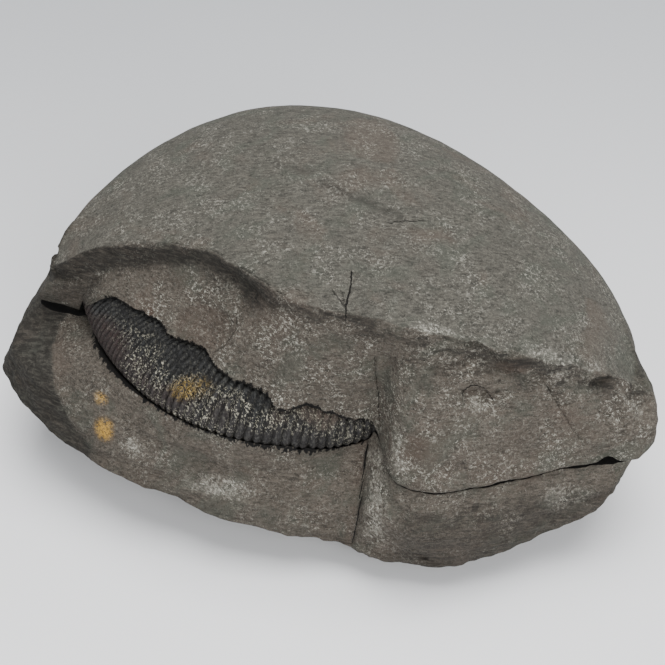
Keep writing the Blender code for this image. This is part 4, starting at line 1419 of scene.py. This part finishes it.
@dataclass
class CoiledShell:
    """The ammonite: a coil of ribbed whorls, whole where the stone hides it."""

    name: str = "ammonite_shell"
    node: str = "ammonite"
    slot: str = "shell_stone"
    exposed: float = 104.0
    column_step: float = 0.19
    fine_rib: float = 1.55
    coarse_rib: float = 2.5
    rib_height: float = 0.68
    finish: ShellFinish = ShellFinish()

    def turns(self) -> Array:
        """Column places in degrees back from the mouth, closer together where the shell shows."""
        shown = np.arange(0.0, self.exposed, self.column_step)
        return np.concatenate([shown, np.arange(self.exposed, 356.0, 1.0), [356.6, 357.0]])

    def flank_shares(self, count: int) -> Array:
        """Shares of the outer radius from the centre out, spaced by a cosine over the outermost whorl.

        Args:
            count: how many lie on the outermost whorl.

        Returns:
            The shares, rising to just below 1.
        """
        angle = np.linspace(1.75, 0.0, count, endpoint=False)
        return np.concatenate([np.linspace(0.0, 0.66, 7), 1.0 - COIL.tall + COIL.tall * np.cos(angle)])

    def rib_phase(self, turn: Array) -> Array:
        """Ribs counted back from the mouth: turn divided by a spacing that widens from fine to coarse.

        Args:
            turn: degrees wound back from the mouth, rising.

        Returns:
            How many ribs lie between the mouth and each turn.
        """
        spacing = self.fine_rib + (self.coarse_rib - self.fine_rib) * ease(25.0, 72.0, turn)
        steps = np.diff(turn, prepend=turn[0]) / spacing
        return np.cumsum(steps)

    def build(self) -> bpy.types.Object:
        """Make the coil.

        Rows run from the centre out over the upper flank, round the outer edge and back under. Each
        row keeps a share of the outer radius; its height comes from the nested ellipses of the
        whorls. Ribs are a rounded wave of the rib count, leaned one way near the mouth and the other
        way farther back, and cut in by the rib height between crests.

        Returns:
            The shell's object.
        """
        turn = self.turns()
        upper, lower = self.flank_shares(44), self.flank_shares(14)[::-1]
        shares = np.concatenate([upper, [1.0], lower])
        side = np.concatenate([np.ones(len(upper)), [0.0], -np.ones(len(lower))])
        edge = COIL.outer(turn)
        radius = edge[:, None] * shares[None]
        half = COIL.half(radius, np.broadcast_to(turn[:, None], radius.shape)) * np.abs(side)
        azimuth = np.radians(turn + COIL.mouth)[:, None]
        x = COIL.centre[0] + radius * np.cos(azimuth)
        y = COIL.centre[1] + radius * np.sin(azimuth)
        grid = np.stack([x, y, COIL.middle(x) + side * half], axis=-1)
        lift = side * np.clip((1.0 - shares) / COIL.tall, 0.0, 1.6)
        lean = np.interp(turn, (0.0, 10.0, 45.0, 62.0, 80.0), (0.9, 0.9, -0.2, -1.0, -1.5))
        wander = 0.16 * layers(grid, 6.0, 61, 2)
        phase = (self.rib_phase(turn)[:, None] + lean[:, None] * lift[None] + wander) % 1.0
        crest = 1.0 - np.abs(phase * 2.0 - 1.0) ** 2.2
        fine = ease(60.0, 40.0, turn)[:, None]
        weight = (0.62 + 0.38 * ease(0.5, 0.1, lift)[None]) * fine + (1.0 - fine)
        strong = ease(0.62, 0.8, shares)[None] * weight * (0.85 + 0.3 * ripple(grid, 5.0, 67))
        depth = self.rib_height * strong * (crest - 1.0) - 0.07 * (1.0 + layers(grid, 1.1, 71, 2))
        slope = np.clip((shares - (1.0 - COIL.tall)) / COIL.tall, 0.0, 1.0)[None]
        outward = np.stack([np.cos(azimuth) * slope, np.sin(azimuth) * slope,
                            np.broadcast_to(1.6 * side * np.sqrt(1.0 - slope ** 2), x.shape)], axis=-1)
        outward /= np.maximum(np.linalg.norm(outward, axis=-1, keepdims=True), 1e-6)
        grid = grid + outward * depth[..., None]
        grid[:, 0] = grid[:, 0].mean(axis=0)
        grid[:, -1] = grid[:, -1].mean(axis=0)
        obj = mesh_of_grid(self.name, grid, self.marks(grid, crest * strong, turn, lift))
        obj.data.materials.append(self.finish.build())
        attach(obj, "root")
        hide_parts(self.node)
        return obj

    def marks(self, grid: Array, crest: Array, turn: Array, lift: Array) -> dict[str, Array]:
        """Crest height, and where rust, crust, light chips and yellow flecks lie round the edge.

        Args:
            grid: columns by rows of positions in the stone's frame.
            crest: 0 between the ribs to 1 on them.
            turn: degrees wound back from the mouth, one per column.
            lift: how far up the upper flank each row lies, negative on the lower one.

        Returns:
            The marks by name.
        """
        turns = turn[:, None]
        high = np.clip(lift, 0.0, 1.6)[None] + 0.22 * layers(grid, 6.0, 73, 3)
        rust = ease(0.42, 0.08, high) * (1.0 - 0.75 * ease(30.0, 70.0, turns))
        rust = rust + 0.5 * spot(grid, (-43.0, 1.0, 4.0), (7.0, 6.0, 4.0))
        chips = ease(0.62, 0.42, high) * ease(0.02, 0.16, high) * ease(10.0, 34.0, turns)
        chips = chips * (1.0 - 0.5 * ease(72.0, 80.0, turns)) * (0.5 + 0.5 * ease(14.0, 40.0, turns)) + 0.06
        crust = ease(0.2, 0.36, high) * ease(69.0, 75.0, turns)
        return {"crest": crest, "rust": rust, "chips": chips, "crust": crust,
                "yellow": summed(SHELL_YELLOW, grid)}


# Stage

@dataclass
class Studio:
    """Pale floor, soft light from above and the camera at the photograph's angle."""

    elevation: float = 51.0
    distance: float = 248.2
    lens: float = 67.18
    sensor: float = 36.0
    aim_right: float = 0.5
    aim_up: float = 9.7
    floor_reach: float = 3.0
    sky: tuple[float, float, float, float] = (0.95, 0.97, 1.0, 1.0)
    sky_strength: float = 0.47

    def build(self) -> None:
        """Add the floor, the lights, the world and the camera."""
        mesh = bpy.data.meshes.new("floor")
        reach = self.floor_reach
        corners = [(-reach, -reach, 0.0), (reach, -reach, 0.0), (reach, reach, 0.0), (-reach, reach, 0.0)]
        mesh.from_pydata(corners, [], [(0, 1, 2, 3)])
        floor = bpy.data.objects.new("floor", mesh)
        mesh.materials.append(FloorFinish().build())
        bpy.context.scene.collection.objects.link(floor)
        self.light("overhead", (0.08, 0.24, 1.08), 0.8, 18.2)
        self.light("front_fill", (0.32, -0.72, 0.62), 0.6, 6.1)
        world = bpy.data.worlds.new("soft_room")
        bpy.context.scene.world = world
        world.use_nodes = True
        background = world.node_tree.nodes["Background"]
        background.inputs["Color"].default_value = self.sky
        background.inputs["Strength"].default_value = self.sky_strength
        self.camera()

    def light(self, name: str, place: Point, size: float, power: float) -> None:
        """A square area light looking at the stone.

        Args:
            name: its name.
            place: where it hangs, in metres.
            size: its side in metres.
            power: its power in watts.
        """
        data = bpy.data.lights.new(name, "AREA")
        data.size = size
        data.energy = power
        obj = bpy.data.objects.new(name, data)
        obj.location = place
        obj.rotation_euler = (-Vector(place)).to_track_quat("-Z", "Y").to_euler()
        bpy.context.scene.collection.objects.link(obj)

    def camera(self) -> None:
        """Camera above the front, level, looking down on the broken face."""
        data = bpy.data.cameras.new("camera")
        data.sensor_width = self.sensor
        data.lens = self.lens
        data.clip_start, data.clip_end = 0.01, 20.0
        camera = bpy.data.objects.new("camera", data)
        rise = math.radians(self.elevation)
        forward = Vector((0.0, math.cos(rise), -math.sin(rise)))
        up = Vector((0.0, math.sin(rise), math.cos(rise)))
        right = Vector((self.aim_right, 0.0, 0.0))
        place = Vector(REST_SHIFT) - forward * self.distance + right + up * self.aim_up
        camera.location = place * MM
        camera.rotation_euler = (math.pi / 2.0 - rise, 0.0, 0.0)
        bpy.context.scene.collection.objects.link(camera)
        bpy.context.scene.camera = camera


def halves() -> tuple[CrownHalf, BaseHalf]:
    """The two halves with their finishes and cracks.

    Returns:
        The upper half and the lower half.
    """
    upper = CrownHalf("crown_half", "upper_half", "crown_stone", Side.UPPER, (97.0, 109.0, 234.0, 250.0),
                      StoneFinish("crown_stone"), CROWN_CRACKS)
    lower = BaseHalf("base_half", "lower_half", "base_stone", Side.LOWER, (74.0, 92.0, 228.0, 246.0),
                     StoneFinish("base_stone", flecks=0.5), BASE_CRACKS)
    return upper, lower


def main() -> None:
    """Load the frame, build every piece in order and report each one."""
    logging.basicConfig(level=logging.INFO, format="%(message)s")
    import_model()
    Studio().build()
    upper, lower = halves()
    pieces: list[tuple[str, Callable[[], bpy.types.Object]]] = [
        ("upper half", upper.build), ("lower half", lower.build), ("ammonite", CoiledShell().build)]
    for label, build in pieces:
        obj = build()
        triangles = sum(len(face.vertices) - 2 for face in obj.data.polygons)
        LOG.info("%s: %d triangles", label, triangles)


if __name__ == "__main__":
    main()
